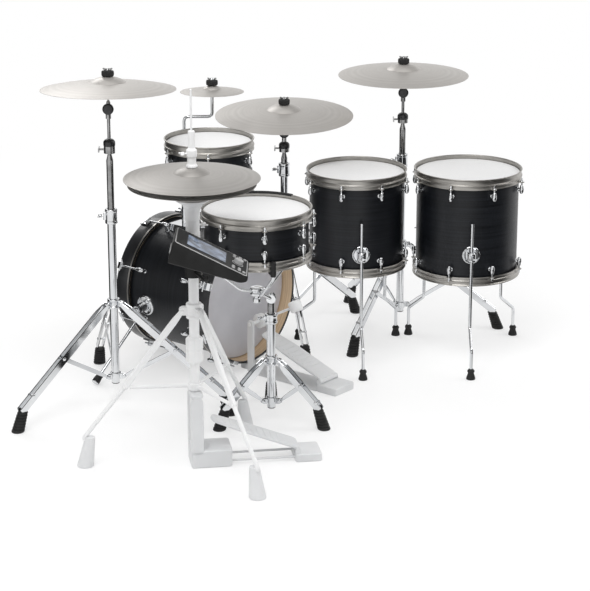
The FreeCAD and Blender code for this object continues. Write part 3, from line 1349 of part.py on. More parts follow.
def heel_plate(name, place, heel):
    """The heel plate, with two ears that carry the footboard's pin."""
    plate = box(name + "_heel", place.multiply(local(heel)), "heel_length", "heel_width", "heel_height")
    ears = []
    for side in (-1, 1):
        ear_place = place.multiply(local("%s - heel_length / 2 + 2 * board_pin_radius" % heel,
                                         "%d * (board_width / 2 + clearance + bar_metal / 2)" % side,
                                         "heel_height - bite"))
        ears.append(box("%s_heel_ear_%d" % (name, side), ear_place, "4 * board_pin_radius", "bar_metal",
                        "4 * board_pin_radius + bite"))
    return [fuse(name + "_heel_plate", [plate] + ears)]


def footboard(name, place, heel, length, rise):
    """A footboard with its hinge knuckle between the heel plate's ears, sloping up from the heel."""
    height = "heel_height + 2 * board_pin_radius + clearance"
    pivot = place.multiply(local("%s - heel_length / 2 + 2 * board_pin_radius" % heel, 0, height))
    slope = pivot.multiply(local(axis=ACROSS, turn=rise))
    knuckle = cylinder(name + "_knuckle", pivot.multiply(local(0, "board_width / 2", 0, ALONG, 90)),
                       "2 * board_pin_radius", "board_width")
    half, toe_half = "board_width / 2", "board_toe_width / 2"
    toe, shoulder = "-%s" % length, "board_taper - %s" % length
    board = padded(name + "_board", slope.multiply(local(z="board_pin_radius")), [
        (toe, "-" + toe_half, "-board_toe_sag"), (toe, toe_half), (shoulder, half), ("0", half),
        ("0", "-" + half), (shoulder, "-" + half)], "board_metal")
    return [fuse(name + "_footboard_solid", [knuckle, board])]


# Bass drum pedal


def kick_pedal():
    place = spot(0, "pedal_axle_y", 0, -90)
    reach = "pedal_heel_reach - heel_length / 2"
    base = box("pedal_base", place.multiply(local("(%s - pedal_upright / 2) / 2" % reach)),
               reach + " + pedal_upright / 2", "heel_width", "pedal_base_metal")
    uprights = []
    for side in (-1, 1):
        upright_place = place.multiply(local(0, "%d * pedal_half_width" % side, "pedal_base_metal - bite"))
        uprights.append(box("pedal_upright_%d" % side, upright_place, "pedal_upright", "pedal_metal",
                            "pedal_axle_height + pedal_upright / 2 - pedal_base_metal + bite"))
    axle_place = place.multiply(local(z="pedal_axle_height"))
    axle_start = axle_place.multiply(local(0, "pedal_half_width + pedal_metal", 0, ALONG, 90))
    axle_length = "2 * (pedal_half_width + pedal_metal)"
    bore = cylinder("pedal_axle_bore", axle_start, "pedal_axle_radius + fit_gap", axle_length)
    heel = heel_plate("pedal", place, "pedal_heel_reach")
    clamp = box("pedal_hoop_clamp", place.multiply(local("-(pedal_upright + hoop_width) / 2")),
                "hoop_width + 2 * bite", "2 * pedal_upright", "kick_floor_gap - fit_gap")
    frame = cut("pedal_frame_solid", fuse("pedal_frame_blank", [base, clamp] + uprights), bore)
    node("kick_pedal_frame", [frame] + heel)
    node("kick_pedal_footboard", footboard("pedal", place, "pedal_heel_reach",
                                           "pedal_board_length", "pedal_board_rise"))
    axle = cylinder("pedal_axle", axle_start, "pedal_axle_radius", axle_length)
    cam = cylinder("pedal_cam", axle_place.multiply(local(0, "cam_width / 2", 0, ALONG, 90)), "cam_radius",
                   "cam_width")
    swing = axle_place.multiply(local(axis=ACROSS, turn="beater_back"))
    shaft = cylinder("pedal_beater_shaft", swing, "beater_rod_radius", "beater_length")
    face = "beater_head_radius - beater_chamfer"
    head_place = swing.multiply(local("-beater_head_width / 2", 0, "beater_length", ACROSS, 90))
    beater = turned("pedal_beater_head", head_place, [
        ("0", "0"), (face, "0"), ("beater_head_radius", "beater_chamfer"),
        ("beater_head_radius", "beater_head_width - beater_chamfer"), (face, "beater_head_width"),
        ("0", "beater_head_width")])
    node("kick_pedal_beater", [fuse("pedal_beater_solid", [axle, cam, shaft, beater])])


# Sound module


def sound_module():
    column = spot("hihat_x", "hihat_y", "module_centre_height", "view_turn")
    hinge = column.multiply(local("module_ahead", "-module_side"))
    tilt = hinge.multiply(local(axis=ACROSS, turn="module_slope"))
    half, tall = "module_length / 2", "module_height"
    case = padded("module_case", tilt.multiply(local(z="module_hinge_radius + clearance")), [
        ("-(%s)" % half, "0"), (half + " - module_nose", "0"), (half, "module_nose / 2"),
        (half, tall + " - module_fall"), ("-(%s)" % half, tall + " + module_fall")],
        "module_width", "XZ_Plane")
    top = "module_hinge_radius + clearance + module_height"
    fall = math.degrees(math.atan2(value("module_fall"), value(half)))
    face = tilt.multiply(local(z=top, axis=ACROSS, turn=fall))
    screen_place = face.multiply(local("-module_nose", 0, "-module_screen_metal"))
    screen_slot = box("module_screen_slot", screen_place, "module_screen_length", "module_screen_width",
                      "module_screen_metal + cut_over")
    knob_place = face.multiply(local("module_knob_ahead"))
    shaft_hole = cylinder("module_shaft_hole", knob_place.multiply(local(z="-module_shaft_depth - cut_over")),
                          "module_shaft_radius + fit_gap", "module_shaft_depth + 2 * cut_over")
    jacks = []
    for number in range(4):
        jack_place = tilt.multiply(local("-(%s) - cut_over" % half, "(%d - 1.5) * jack_pitch" % number,
                                         top + " - module_height / 2", ACROSS, 90))
        jacks.append(cylinder("module_jack_%d" % number, jack_place, "jack_radius", "jack_depth + cut_over"))
    body = cut("module_body", case, fuse("module_cuts", [screen_slot, shaft_hole] + jacks))
    screen = box("module_screen", screen_place, "module_screen_length - 2 * clearance",
                 "module_screen_width - 2 * clearance", "module_screen_metal")
    knuckle_half = "module_hinge_width / 2"
    lugs = []
    for side in (-1, 1):
        lugs.append(box("module_lug_%d" % side, tilt.multiply(local(
            0, "%d * (%s + clearance + bar_metal)" % (side, knuckle_half))), "2 * module_hinge_radius",
            "2 * bar_metal", "module_hinge_radius + clearance + bite"))
    length = "module_hinge_width + 2 * clearance + 4 * bar_metal"
    pin = cylinder("module_pin", tilt.multiply(local(0, "(%s) / 2" % length, 0, ALONG, 90)), "pin_radius",
                   length)
    node("module_housing", [fuse("module_shell", [body, pin] + lugs), screen])
    shaft = cylinder("module_knob_shaft", knob_place.multiply(local(z="-module_shaft_depth")),
                     "module_shaft_radius", "module_shaft_depth + module_knob_height / 2")
    cap = turned("module_knob_cap", knob_place.multiply(local(z="clearance")), [
        ("0", "0"), ("module_knob_radius", "0"),
        ("module_knob_radius - module_knob_taper", "module_knob_height"), ("0", "module_knob_height")])
    node("module_knob", [fuse("module_knob_solid", [shaft, cap])])
    eye = cylinder("module_eye", hinge.multiply(local(0, knuckle_half, 0, ALONG, 90)), "module_hinge_radius",
                   "module_hinge_width")
    bore = cylinder("module_eye_bore", hinge.multiply(local(0, knuckle_half + " + cut_over", 0, ALONG, 90)),
                    "pin_radius + fit_gap", "module_hinge_width + 2 * cut_over")
    low = value("-module_rod_drop")
    run = [Vector(), Vector(0, 0, low), Vector(value("-module_ahead"), value("module_side"), low)]
    rod = shaped("module_rod", hinge, bent_rod(run, value("module_rod_radius"), value("module_rod_bend")))
    column_bore = "hihat_tube_radius + fit_gap"
    clamp_place = column.multiply(local(z="-module_rod_drop - module_clamp_height / 2"))
    clamp = turned("module_clamp", clamp_place, ring_outline(
        column_bore, "hihat_tube_radius + module_clamp_wall", "0", "module_clamp_height"))
    tube = cylinder("module_clamp_bore", clamp_place, column_bore, "module_clamp_height")
    holder = fuse("module_holder_blank", [eye, rod, clamp])
    node("module_holder", [cut("module_holder_solid", holder, fuse("module_holder_cuts", [bore, tube]))])


bass_drum()
floor_tom("left_floor_tom", "left_tom")
floor_tom("right_floor_tom", "right_tom")
rack_tom(tom_holder())
splash()
snare()
left_seat = folding_stand("left_stand", "left")
node("left_crash_cymbal", [cymbal("left_crash_cymbal", left_seat, "left_cymbal_radius")])
middle_seat = fixed_stand("middle_stand", "middle")
node("middle_crash_cymbal", [cymbal("middle_crash_cymbal", middle_seat, "middle_cymbal_radius")])
ride_seat = fixed_stand("ride_stand", "ride")
node("ride_cymbal", [cymbal("ride_cymbal", ride_seat, "ride_cymbal_radius")])
hihat()
kick_pedal()
sound_module()
node("floor_tom_legs", floor_legs)
node("rubber_feet", floor_feet)

doc.recompute()
for thing in doc.Objects:
    if "Invalid" in thing.State or "Error" in thing.State:
        raise RuntimeError("%s did not recompute: %s" % (thing.Name, thing.State))
for label, thing in nodes.items():
    if thing.Shape.isNull() or not thing.Shape.isValid():
        raise RuntimeError("%s has no valid shape" % label)
    if not thing.Shape.Solids:
        raise RuntimeError("%s holds no solid" % label)

os.makedirs("parts", exist_ok=True)
whole = FreeCAD.BoundBox()
for label, thing in nodes.items():
    thing.Shape.exportStep("parts/%s.step" % label)
    whole.add(thing.Shape.BoundBox)
print("%d nodes, box %s" % (len(nodes), whole))
print("middle of the plan %.2f, %.2f" % (whole.Center.x, whole.Center.y))
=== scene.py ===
# %% [markdown]
# # An electronic drum kit
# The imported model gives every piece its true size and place. This lesson dresses it: it sets up a
# camera and a white studio, mixes the finishes, and makes again the pieces that need finer shapes than
# plain solids.

# %% Load the frame
import bpy
import bmesh
import math
from mathutils import Matrix, Vector


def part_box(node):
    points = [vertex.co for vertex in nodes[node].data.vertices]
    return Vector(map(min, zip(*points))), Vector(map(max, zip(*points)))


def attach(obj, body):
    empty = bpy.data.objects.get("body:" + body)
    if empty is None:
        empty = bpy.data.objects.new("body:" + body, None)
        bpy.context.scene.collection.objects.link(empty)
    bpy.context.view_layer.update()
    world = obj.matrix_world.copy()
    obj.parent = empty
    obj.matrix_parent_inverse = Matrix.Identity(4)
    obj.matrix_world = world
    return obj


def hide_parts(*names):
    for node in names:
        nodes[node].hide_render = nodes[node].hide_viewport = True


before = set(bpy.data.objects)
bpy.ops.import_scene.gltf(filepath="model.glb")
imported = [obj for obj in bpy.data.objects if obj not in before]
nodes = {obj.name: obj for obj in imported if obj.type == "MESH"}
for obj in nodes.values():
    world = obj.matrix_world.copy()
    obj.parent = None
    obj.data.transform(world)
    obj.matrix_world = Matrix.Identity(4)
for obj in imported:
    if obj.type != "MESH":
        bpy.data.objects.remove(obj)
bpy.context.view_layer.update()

# %% [markdown]
# ## The camera
# The picture is taken from behind the player's left shoulder, through a long lens. A camera could be
# set by eye. This one was worked out from drums and cymbals of known size, so that height, pitch and
# focal length agree with each other and the lens needs no shift.

# %% Camera
CAMERA_PLACE = Vector((-4.8696, -4.0353, 2.2852))
CAMERA_HEADING = Vector((0.7775, 0.6289, 0.0)).normalized()
CAMERA_PITCH = math.radians(-17.558)
eye = bpy.data.cameras.new("camera")
eye.sensor_fit = "HORIZONTAL"
eye.sensor_width = 36.0
eye.lens = 128.14
camera = bpy.data.objects.new("camera", eye)
bpy.context.scene.collection.objects.link(camera)
look = CAMERA_HEADING * math.cos(CAMERA_PITCH) + Vector((0, 0, math.sin(CAMERA_PITCH)))
camera.matrix_world = Matrix.Translation(CAMERA_PLACE) @ look.to_track_quat("-Z", "Y").to_matrix().to_4x4()
bpy.context.scene.camera = camera
print("camera looks along", [round(v, 3) for v in look])

# %% [markdown]
# ## Shader sums
# A finish is a small net of nodes. It could be drawn by hand, or made with one Python call per node.
# Sums that are written as Python expressions are easier to read, so one class wraps a socket: adding or
# multiplying two wires adds a Math node, and `node` makes every other kind.


# %% A wire that can be added and multiplied
class Wire:
    def __init__(self, socket):
        self.socket = socket
        self.tree = socket.id_data

    def node(self, kind, settings, sockets, output=0):
        """Adds a node, sets its settings first and then its sockets, and gives one of its outputs."""
        made = self.tree.nodes.new(kind)
        for name, value in settings.items():
            setattr(made, name, value)
        for name, value in sockets.items():
            if isinstance(value, Wire):
                self.tree.links.new(value.socket, made.inputs[name])
            else:
                made.inputs[name].default_value = value
        return Wire(made.outputs[output])

    def sum(self, operation, first, second=0.0):
        return self.node("ShaderNodeMath", {"operation": operation}, {0: first, 1: second})

    def __add__(self, other):
        return self.sum("ADD", self, other)

    def __radd__(self, other):
        return self.sum("ADD", other, self)

    def __sub__(self, other):
        return self.sum("SUBTRACT", self, other)

    def __rsub__(self, other):
        return self.sum("SUBTRACT", other, self)

    def __mul__(self, other):
        return self.sum("MULTIPLY", self, other)

    def __rmul__(self, other):
        return self.sum("MULTIPLY", other, self)

    def __gt__(self, other):
        return self.sum("GREATER_THAN", self, other)

    def smooth(self, low, high):
        """0 below low, 1 above high, and a soft slope between them."""
        return self.node("ShaderNodeMapRange", {"interpolation_type": "SMOOTHSTEP"},
                         {"Value": self, "From Min": low, "From Max": high})

    def mix(self, low, high):
        """A colour that goes from low to high as this wire goes from 0 to 1."""
        return self.node("ShaderNodeMix", {"data_type": "RGBA"}, {0: self, 6: low, 7: high}, 2)

    def tone(self, low, high):
        """The same, with most of the change in the middle of a noise."""
        return self.smooth(0.3, 0.7).mix(low, high)

    def scaled(self, amount):
        """A place stretched by a vector."""
        return self.node("ShaderNodeVectorMath", {"operation": "MULTIPLY"}, {0: self, 1: amount})

    def shifted(self, amount):
        """A place moved so that a given point becomes the origin."""
        return self.node("ShaderNodeVectorMath", {"operation": "SUBTRACT"}, {0: self, 1: amount})

    def length(self):
        """A place's distance from the origin."""
        return self.node("ShaderNodeVectorMath", {"operation": "LENGTH"}, {0: self}, 1)

    def noise(self, scale, detail=2.0):
        return self.node("ShaderNodeTexNoise", {}, {"Vector": self, "Scale": scale, "Detail": detail})

    def rings(self, scale, detail):
        """Noise along one number, here a radius."""
        return self.node("ShaderNodeTexNoise", {"noise_dimensions": "1D"},
                         {"W": self * scale, "Scale": 1.0, "Detail": detail})

    def axis(self, number):
        """One coordinate of a place: 0, 1 or 2 for X, Y or Z."""
        return self.node("ShaderNodeSeparateXYZ", {}, {"Vector": self}, number)

    def bump(self, strength, distance):
        return self.node("ShaderNodeBump", {}, {"Height": self, "Strength": strength, "Distance": distance})


# %% A new finish and its links
def grey(level, warmth=0.0):
    """A neutral colour, a little warmer or cooler."""
    return (level * (1 + warmth), level, level * (1 - warmth), 1.0)


def finish(name, colour, roughness, metallic=0.0, coat=0.0, **others):
    material = bpy.data.materials.new(name)
    material.use_nodes = True
    shader = material.node_tree.nodes["Principled BSDF"]
    values = {"Base Color": colour, "Roughness": roughness, "Metallic": metallic, "Coat Weight": coat}
    for socket, value in {**values, **others}.items():
        shader.inputs[socket].default_value = value
    coordinates = material.node_tree.nodes.new("ShaderNodeTexCoord")
    return material, Wire(coordinates.outputs["Object"])


def feed(material, **wires):
    """Links wires to the shader: base, roughness, normal or glow."""
    shader = material.node_tree.nodes["Principled BSDF"]
    sockets = {"base": "Base Color", "roughness": "Roughness", "normal": "Normal", "glow": "Emission Color"}
    for name, wire in wires.items():
        material.node_tree.links.new(wire.socket, shader.inputs[sockets[name]])
    return material


# %% [markdown]
# ## A white studio
# So the world and the far floor are white to the camera and to mirrors, and the lamps stay soft.
# Chrome needs something dark to mirror: the room has dark gaps between its white walls, which go on
# over the floor, and a dim ceiling. Only mirror rays see them.

# %% Kinds of rays and dark gaps
GAP_COUNT = 2.0
GAP_TURN = 2.1


def rays(tree):
    """Wires that are 1 for a ray from the camera, from a mirror, or through glass."""
    outputs = tree.nodes.new("ShaderNodeLightPath").outputs
    return [Wire(outputs["Is %s Ray" % kind]) for kind in ("Camera", "Glossy", "Transmission")]


def gaps(place):
    """1 in the directions where the room is dark, 0 elsewhere, with soft edges."""
    turn = place.sum("ARCTAN2", place.axis(1), place.axis(0))
    return place.sum("SINE", turn * GAP_COUNT - GAP_TURN).smooth(0.1, 0.5)


# %% World
AMBIENT = grey(0.62)
world = bpy.data.worlds.new("studio")
bpy.context.scene.world = world
world.use_nodes = True
bpy.context.scene.view_settings.view_transform = "Standard"
ambient = world.node_tree.nodes["Background"]
ambient.inputs["Color"].default_value = AMBIENT
room = Wire(world.node_tree.nodes.new("ShaderNodeTexCoord").outputs["Generated"])
camera_ray, mirror_ray, glass_ray = rays(world.node_tree)
height = room.axis(2)
wall_gap = gaps(room) * (1 - height.smooth(0.5, 0.75)) * height.smooth(-0.02, 0.05)
ceiling = height.smooth(0.42, 0.62) * (1 - height.smooth(0.8, 0.95))
mirror_view = room.sum("MAXIMUM", wall_gap, ceiling).mix(grey(1.0), grey(0.02))
seen = mirror_ray.mix(grey(1.0), mirror_view)
backdrop = room.node("ShaderNodeBackground", {}, {"Color": seen, "Strength": 1.0})
clear = camera_ray + glass_ray + mirror_ray
shown = room.node("ShaderNodeMixShader", {}, {0: clear, 1: Wire(ambient.outputs[0]), 2: backdrop})
world.node_tree.links.new(shown.socket, world.node_tree.nodes["World Output"].inputs["Surface"])
print("a white room with", int(GAP_COUNT), "dark gaps")

# %% Floor
FLOOR_HALF = 30.0
FLOOR_DROP = 0.0006
floor_mesh = bpy.data.meshes.new("floor")
corners = [(x * FLOOR_HALF, y * FLOOR_HALF, -FLOOR_DROP) for x, y in ((-1, -1), (1, -1), (1, 1), (-1, 1))]
floor_mesh.from_pydata(corners, [], [(0, 1, 2, 3)])
floor = bpy.data.objects.new("floor", floor_mesh)
bpy.context.scene.collection.objects.link(floor)
print("a floor", 2 * FLOOR_HALF, "m wide")

# %% White paper on the floor
paper = bpy.data.materials.new("white_paper")
paper.use_nodes = True
paper.node_tree.nodes.remove(paper.node_tree.nodes["Principled BSDF"])
spot = Wire(paper.node_tree.nodes.new("ShaderNodeTexCoord").outputs["Object"])
camera_ray, mirror_ray, glass_ray = rays(paper.node_tree)
span = spot.length()
lit = spot.node("ShaderNodeBsdfDiffuse", {}, {"Color": grey(0.50)})
glow = spot.node("ShaderNodeEmission", {}, {"Color": grey(1.0), "Strength": 0.52})
near = spot.node("ShaderNodeAddShader", {}, {0: lit, 1: glow})
far = spot.node("ShaderNodeEmission", {}, {"Color": grey(1.0), "Strength": 1.0})
white = spot.node("ShaderNodeMixShader", {}, {0: span.smooth(1.4, 3.4), 1: near, 2: far})
black = spot.node("ShaderNodeEmission", {}, {"Color": grey(0.04), "Strength": 1.0})
dark = gaps(spot) * span.smooth(0.55, 1.15) * mirror_ray
visible = spot.node("ShaderNodeMixShader", {}, {0: dark, 1: white, 2: black})
bounce = spot.node("ShaderNodeBsdfDiffuse", {}, {"Color": grey(0.8)})
direct = camera_ray + mirror_ray + glass_ray
surface = spot.node("ShaderNodeMixShader", {}, {0: direct, 1: bounce, 2: visible})
paper.node_tree.links.new(surface.socket, paper.node_tree.nodes["Material Output"].inputs["Surface"])
floor_mesh.materials.append(paper)
print("the paper keeps soft shadows near the kit")

# %% Lamps
# Place and size in metres, power in watts
LAMPS = {"key": ((-2.2, -1.0, 4.6), 2.6, 95.0), "fill": ((2.6, -3.2, 3.2), 2.2, 40.0),
         "rim": ((1.5, 3.6, 3.4), 2.2, 45.0)}
LAMP_AIM = Vector((0, 0, 0.4))
for name, (spot_place, size, power) in LAMPS.items():
    light = bpy.data.lights.new(name, "AREA")
    light.shape = "DISK"
    light.size = size
    light.energy = power
    lamp = bpy.data.objects.new(name, light)
    bpy.context.scene.collection.objects.link(lamp)
    aim = (LAMP_AIM - Vector(spot_place)).to_track_quat("-Z", "Y").to_matrix().to_4x4()
    lamp.matrix_world = Matrix.Translation(spot_place) @ aim
print(len(LAMPS), "soft lamps")

# %% [markdown]
# ## Finishes
# Pictures of such surfaces could be wrapped round the shapes. Noise and waves in the shader need no
# pictures, show no seams and keep their scale on every piece. Each material has its own short function.


# %% Black oak
def black_oak(name, along):
    """Black lacquered oak whose grain runs round a shell; along is the shell's axis, 1 for Y or 2 for Z."""
    material, place = finish(name, grey(0.012), 0.5, **{"Specular IOR Level": 0.35})
    stretch = [5.0, 5.0, 5.0]
    stretch[along] = 230.0
    fine = [9.0, 9.0, 9.0]
    fine[along] = 900.0
    grain = place.scaled(stretch).noise(1.0, 4.0)
    pores = place.scaled(fine).noise(1.0, 2.0).smooth(0.52, 0.7)
    cloud = place.noise(3.0, 3.0)
    streak = (grain * 0.7 + cloud * 0.3).smooth(0.35, 0.65)
    return feed(material, base=streak.mix((0.0035, 0.0042, 0.0060, 1), (0.0100, 0.0118, 0.0155, 1)),
                roughness=0.30 + grain * 0.14 + pores * 0.1,
                normal=(grain * 0.5 - pores * 0.5).bump(0.25, 0.0006))


OAK = black_oak("black_oak", 2)
KICK_OAK = black_oak("kick_black_oak", 1)
print("black oak for standing shells and for the bass drum")


# %% Metals
def pewter():
    material, place = finish("pewter", grey(0.42, 0.04), 0.34, 1.0)
    brush = place.scaled((40, 40, 900)).noise(1.0, 3.0)
    cloud = place.noise(14.0, 3.0)
    base = (cloud * 0.6 + brush * 0.4).tone((0.36, 0.345, 0.32, 1), (0.47, 0.455, 0.43, 1))
    return feed(material, base=base, roughness=0.27 + brush * 0.12 + cloud * 0.05,
                normal=brush.bump(0.08, 0.0003))


def chrome():
    material, place = finish("chrome", grey(0.78), 0.07, 1.0)
    smear = place.noise(9.0, 4.0)
    return feed(material, base=smear.tone((0.66, 0.672, 0.69, 1), (0.76, 0.77, 0.78, 1)),
                roughness=0.045 + smear.smooth(0.45, 0.75) * 0.07)


def dark_chrome():
    material, place = finish("dark_chrome", grey(0.32), 0.14, 1.0)
    smear = place.noise(30.0, 3.0)
    return feed(material, base=smear.tone(grey(0.24), grey(0.42)), roughness=0.10 + smear * 0.10)


def cymbal_metal(name, centre, shade):
    """Satin metal turned on a lathe: fine rings round the cymbal's own axis; shade scales its tone, as
    painted shade below 1 and painted light above 1.
    """
    material, place = finish(name, grey(0.5, 0.04), 0.4, 0.5)
    radius = place.shifted(centre).scaled((1, 1, 0)).length()
    fine = radius.rings(900.0, 3.0)
    wide = radius.rings(90.0, 2.0)
    hammer = place.noise(26.0, 2.0)
    low, high = [(*(part * shade for part in colour), 1)
                 for colour in ((0.455, 0.435, 0.410), (0.525, 0.503, 0.478))]
    return feed(material, base=(fine * 0.4 + wide * 0.4 + hammer * 0.2).tone(low, high),
                roughness=0.38 + fine * 0.12, normal=(fine * 0.6 + wide * 0.4).bump(0.06, 0.0004))


PEWTER = pewter()
CHROME = chrome()
DARK_CHROME = dark_chrome()
print("pewter, chrome and dark chrome")


# %% Heads, rubber, felt and wood
def woven_mesh():
    """A two-ply mesh head: threads across each other, seen as fine pores."""
    material, place = finish("white_mesh", grey(0.90), 0.6)
    threads_per_metre = 900.0
    waves = [place.sum("SINE", place.axis(number) * threads_per_metre * 2 * math.pi) * 0.5 + 0.5
             for number in (0, 1)]
    threads = place.sum("MAXIMUM", *waves)
    weave = threads.smooth(0.2, 0.9) * 0.75 + place.noise(11.0, 3.0) * 0.25
    return feed(material, base=weave.mix(grey(0.74), grey(0.90)), normal=threads.bump(0.15, 0.0002))


def kick_skin():
    """White mesh on the batter side, painted a bluish grey as painted shade, plain black film in front, told
    apart by the place along the drum.
    """
    material, place = finish("kick_skin", grey(0.6), 0.5)
    cloud = place.noise(9.0, 3.0)
    # The batter is white mesh, painted bluish grey as painted shade.
    batter = cloud.tone((0.62, 0.62, 0.66, 1), (0.70, 0.70, 0.74, 1))
    front = cloud.tone(grey(0.010), grey(0.016))
    front_starts = 0.40
    ahead = place.axis(1) > front_starts
    return feed(material, base=ahead.mix(batter, front), roughness=0.55 - ahead * 0.25)


def rubber():
    material, place = finish("rubber", grey(0.012), 0.62)
    dust = place.noise(60.0, 4.0)
    return feed(material, base=dust.smooth(0.35, 0.8).mix(grey(0.008), grey(0.022)),
                roughness=0.55 + dust * 0.25, normal=dust.bump(0.15, 0.0004))


def felt():
    material, place = finish("felt", grey(0.02), 0.95)
    fluff = place.noise(700.0, 4.0)
    return feed(material, base=fluff.tone(grey(0.008), grey(0.035)), normal=fluff.bump(0.5, 0.0008))


def maple():
    """Bare bent maple: grain round the hoop, that is, stripes along the drum's axis."""
    material, place = finish("maple", (0.6, 0.43, 0.27, 1), 0.5)
    grain = place.scaled((4, 240, 4)).noise(1.0, 4.0)
    return feed(material, base=grain.tone((0.62, 0.45, 0.28, 1), (0.82, 0.63, 0.43, 1)),
                roughness=0.45 + grain * 0.15, normal=grain.bump(0.1, 0.0004))


MESH = woven_mesh()
KICK_SKIN = kick_skin()
RUBBER = rubber()
FELT = felt()
MAPLE = maple()
print("mesh, film, rubber, felt and maple")


# %% Lacquer, plastic and the screen
def black_lacquer():
    material, place = finish("hoop_black", grey(0.012), 0.32, coat=0.2)
    cloud = place.noise(8.0, 3.0)
    return feed(material, base=cloud.tone((0.008, 0.0085, 0.010, 1), (0.022, 0.023, 0.026, 1)),
                roughness=0.28 + cloud * 0.16)


def pale_lacquer(name, low, high):
    material, place = finish(name, high, 0.38, **{"Specular IOR Level": 0.4})
    peel = place.noise(420.0, 2.0)
    return feed(material, base=place.noise(7.0, 3.0).tone(low, high), roughness=0.34 + peel * 0.12,
                normal=peel.bump(0.06, 0.0002))


def moulded_plastic(name, low, high):
    material, place = finish(name, high, 0.45, **{"Specular IOR Level": 0.22})
    pebble = place.noise(900.0, 2.0)
    return feed(material, base=place.noise(18.0, 2.0).tone(low, high), roughness=0.38 + pebble * 0.2,
                normal=pebble.bump(0.12, 0.0002))


def screen_glow_and_painted_reflection():
    """A dim bluish screen that glows, with soft blocks of light that are painted reflections on its glass.
    """
    material, place = finish("screen", (0.02, 0.03, 0.05, 1), 0.12, **{"Emission Strength": 0.36})
    cells = place.node("ShaderNodeTexVoronoi", {"distance": "CHEBYCHEV"}, {"Vector": place, "Scale": 34.0})
    glow_and_reflection_tint = place.noise(16.0, 1.0).smooth(0.35, 0.65).mix((0.10, 0.16, 0.30, 1), (0.42, 0.55, 0.78, 1))
    return feed(material, glow=cells.smooth(0.25, 0.6).mix(glow_and_reflection_tint, (0.03, 0.05, 0.10, 1)))


HOOP_BLACK = black_lacquer()
LACQUER = pale_lacquer("pale_lacquer", (0.76, 0.77, 0.78, 1), (0.85, 0.855, 0.86, 1))
# A lighter copy of the pale lacquer: painted light that keeps the hi-hat column, legs, pull rod and beater
# white where they stand in shade.
PAINTED_LIGHT_WHITE = pale_lacquer("white_lacquer_painted_light", (0.90, 0.905, 0.91, 1), (0.96, 0.96, 0.96, 1))
SILVER = moulded_plastic("silver_plastic", grey(0.42), grey(0.52))
PANEL = moulded_plastic("panel", grey(0.006), grey(0.010))
BLACK_PLASTIC = moulded_plastic("black_plastic", grey(0.010), grey(0.018))
SCREEN = screen_glow_and_painted_reflection()
print(len(bpy.data.materials), "finishes")


# %% Finishes on the carried-over solids
def dress(name, material):
    """Gives a solid of the frame one finish."""
    mesh = nodes[name].data
    mesh.materials.clear()
    mesh.materials.append(material)


# The hi-hat's pair gets painted shade and the other cymbals painted light: one metal scaled for how light
# falls on each.
HIHAT_PAINTED_SHADE, CYMBAL_PAINTED_LIGHT = 0.8, 1.05


def dress_cymbal(name):
    """Gives a cymbal rings round its own middle; the hi-hat's pair is painted darker as painted shade, the
    other cymbals a little lighter as painted light.
    """
    low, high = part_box(name)
    shade = HIHAT_PAINTED_SHADE if name.startswith("hihat") else CYMBAL_PAINTED_LIGHT
    dress(name, cymbal_metal(name + "_metal", (low + high) / 2, shade))


for name in nodes:
    if name.endswith("_shell"):
        dress(name, KICK_OAK if name.startswith("kick") else OAK)
    elif name.endswith("_hoops"):
        dress(name, PEWTER)
    elif name.endswith("_heads"):
        dress(name, KICK_SKIN if name.startswith("kick") else MESH)
    elif name.endswith("_cymbal"):
        dress_cymbal(name)
    elif name.startswith(("hihat", "kick_pedal")):
        dress(name, LACQUER)
    elif name == "rubber_feet":
        dress(name, RUBBER)
    elif name.startswith("module"):
        dress(name, BLACK_PLASTIC)
    elif name.endswith("_stand_post"):
        dress(name, DARK_CHROME)
    else:
        dress(name, CHROME)
print("every solid has a finish")

# %% [markdown]
# ## Making shapes
# Rims, lugs, feet and caps are turned shapes, rods are bent tubes and plates are outlines with
# thickness. Curves and modifiers could make them, one object each. Rings of points joined by quads give
# full control of every edge, and many forms fit in one mesh.


# %% Placements and outlines
def place(x=0.0, y=0.0, z=0.0, turn=0.0, tilt=0.0, about="Y"):
    """A placement in millimetres: a turn round Z, and then a tilt round X or Y."""
    flat = Matrix.Translation((x, y, z)) @ Matrix.Rotation(math.radians(turn), 4, "Z")
    return flat @ Matrix.Rotation(math.radians(tilt), 4, about)


# Sets an outline on edge: what was Y points up
SIDEWAYS = place(tilt=90, about="X")


def on_radius(at, x=0.0, z=0.0):
    """A frame that stands on a radius: X points outwards and Y up."""
    return at @ place(x, 0, z) @ SIDEWAYS


def turns(count, phase, flipped=False):
    """Equal steps of a full turn, counted backwards in a frame that hangs upside down."""
    return [(-1 if flipped else 1) * (phase + 360 * step / count) for step in range(count)]


def rounded(points, radius, closed=True, steps=4):
    """The points with each corner replaced by a short curve."""
    made = []
    points = [Vector(p).to_3d() for p in points]
    for index, corner in enumerate(points):
        if not closed and index in (0, len(points) - 1):
            made.append(corner)
            continue
        before = points[index - 1] - corner
        after = points[(index + 1) % len(points)] - corner
        cut = min(radius, before.length * 0.45, after.length * 0.45)
        start, end = corner + before.normalized() * cut, corner + after.normalized() * cut
        for step in range(steps + 1):
            t = step / steps
            made.append(start * (1 - t) ** 2 + corner * 2 * t * (1 - t) + end * t ** 2)
    return made


def inset(points, amount):
    """A flat outline moved inwards by an amount, along its corners' bisectors."""
    made = []
    area = sum(a.x * b.y - b.x * a.y for a, b in zip(points, points[1:] + points[:1]))
    side = 1 if area > 0 else -1
    for index, corner in enumerate(points):
        before = (corner - points[index - 1]).normalized()
        after = (points[(index + 1) % len(points)] - corner).normalized()
        inward = Vector((-before.y - after.y, before.x + after.x, 0)) * side
        length = max(inward.length, 0.3)
        made.append(corner + inward.normalized() * amount * 2 / length)
    return made


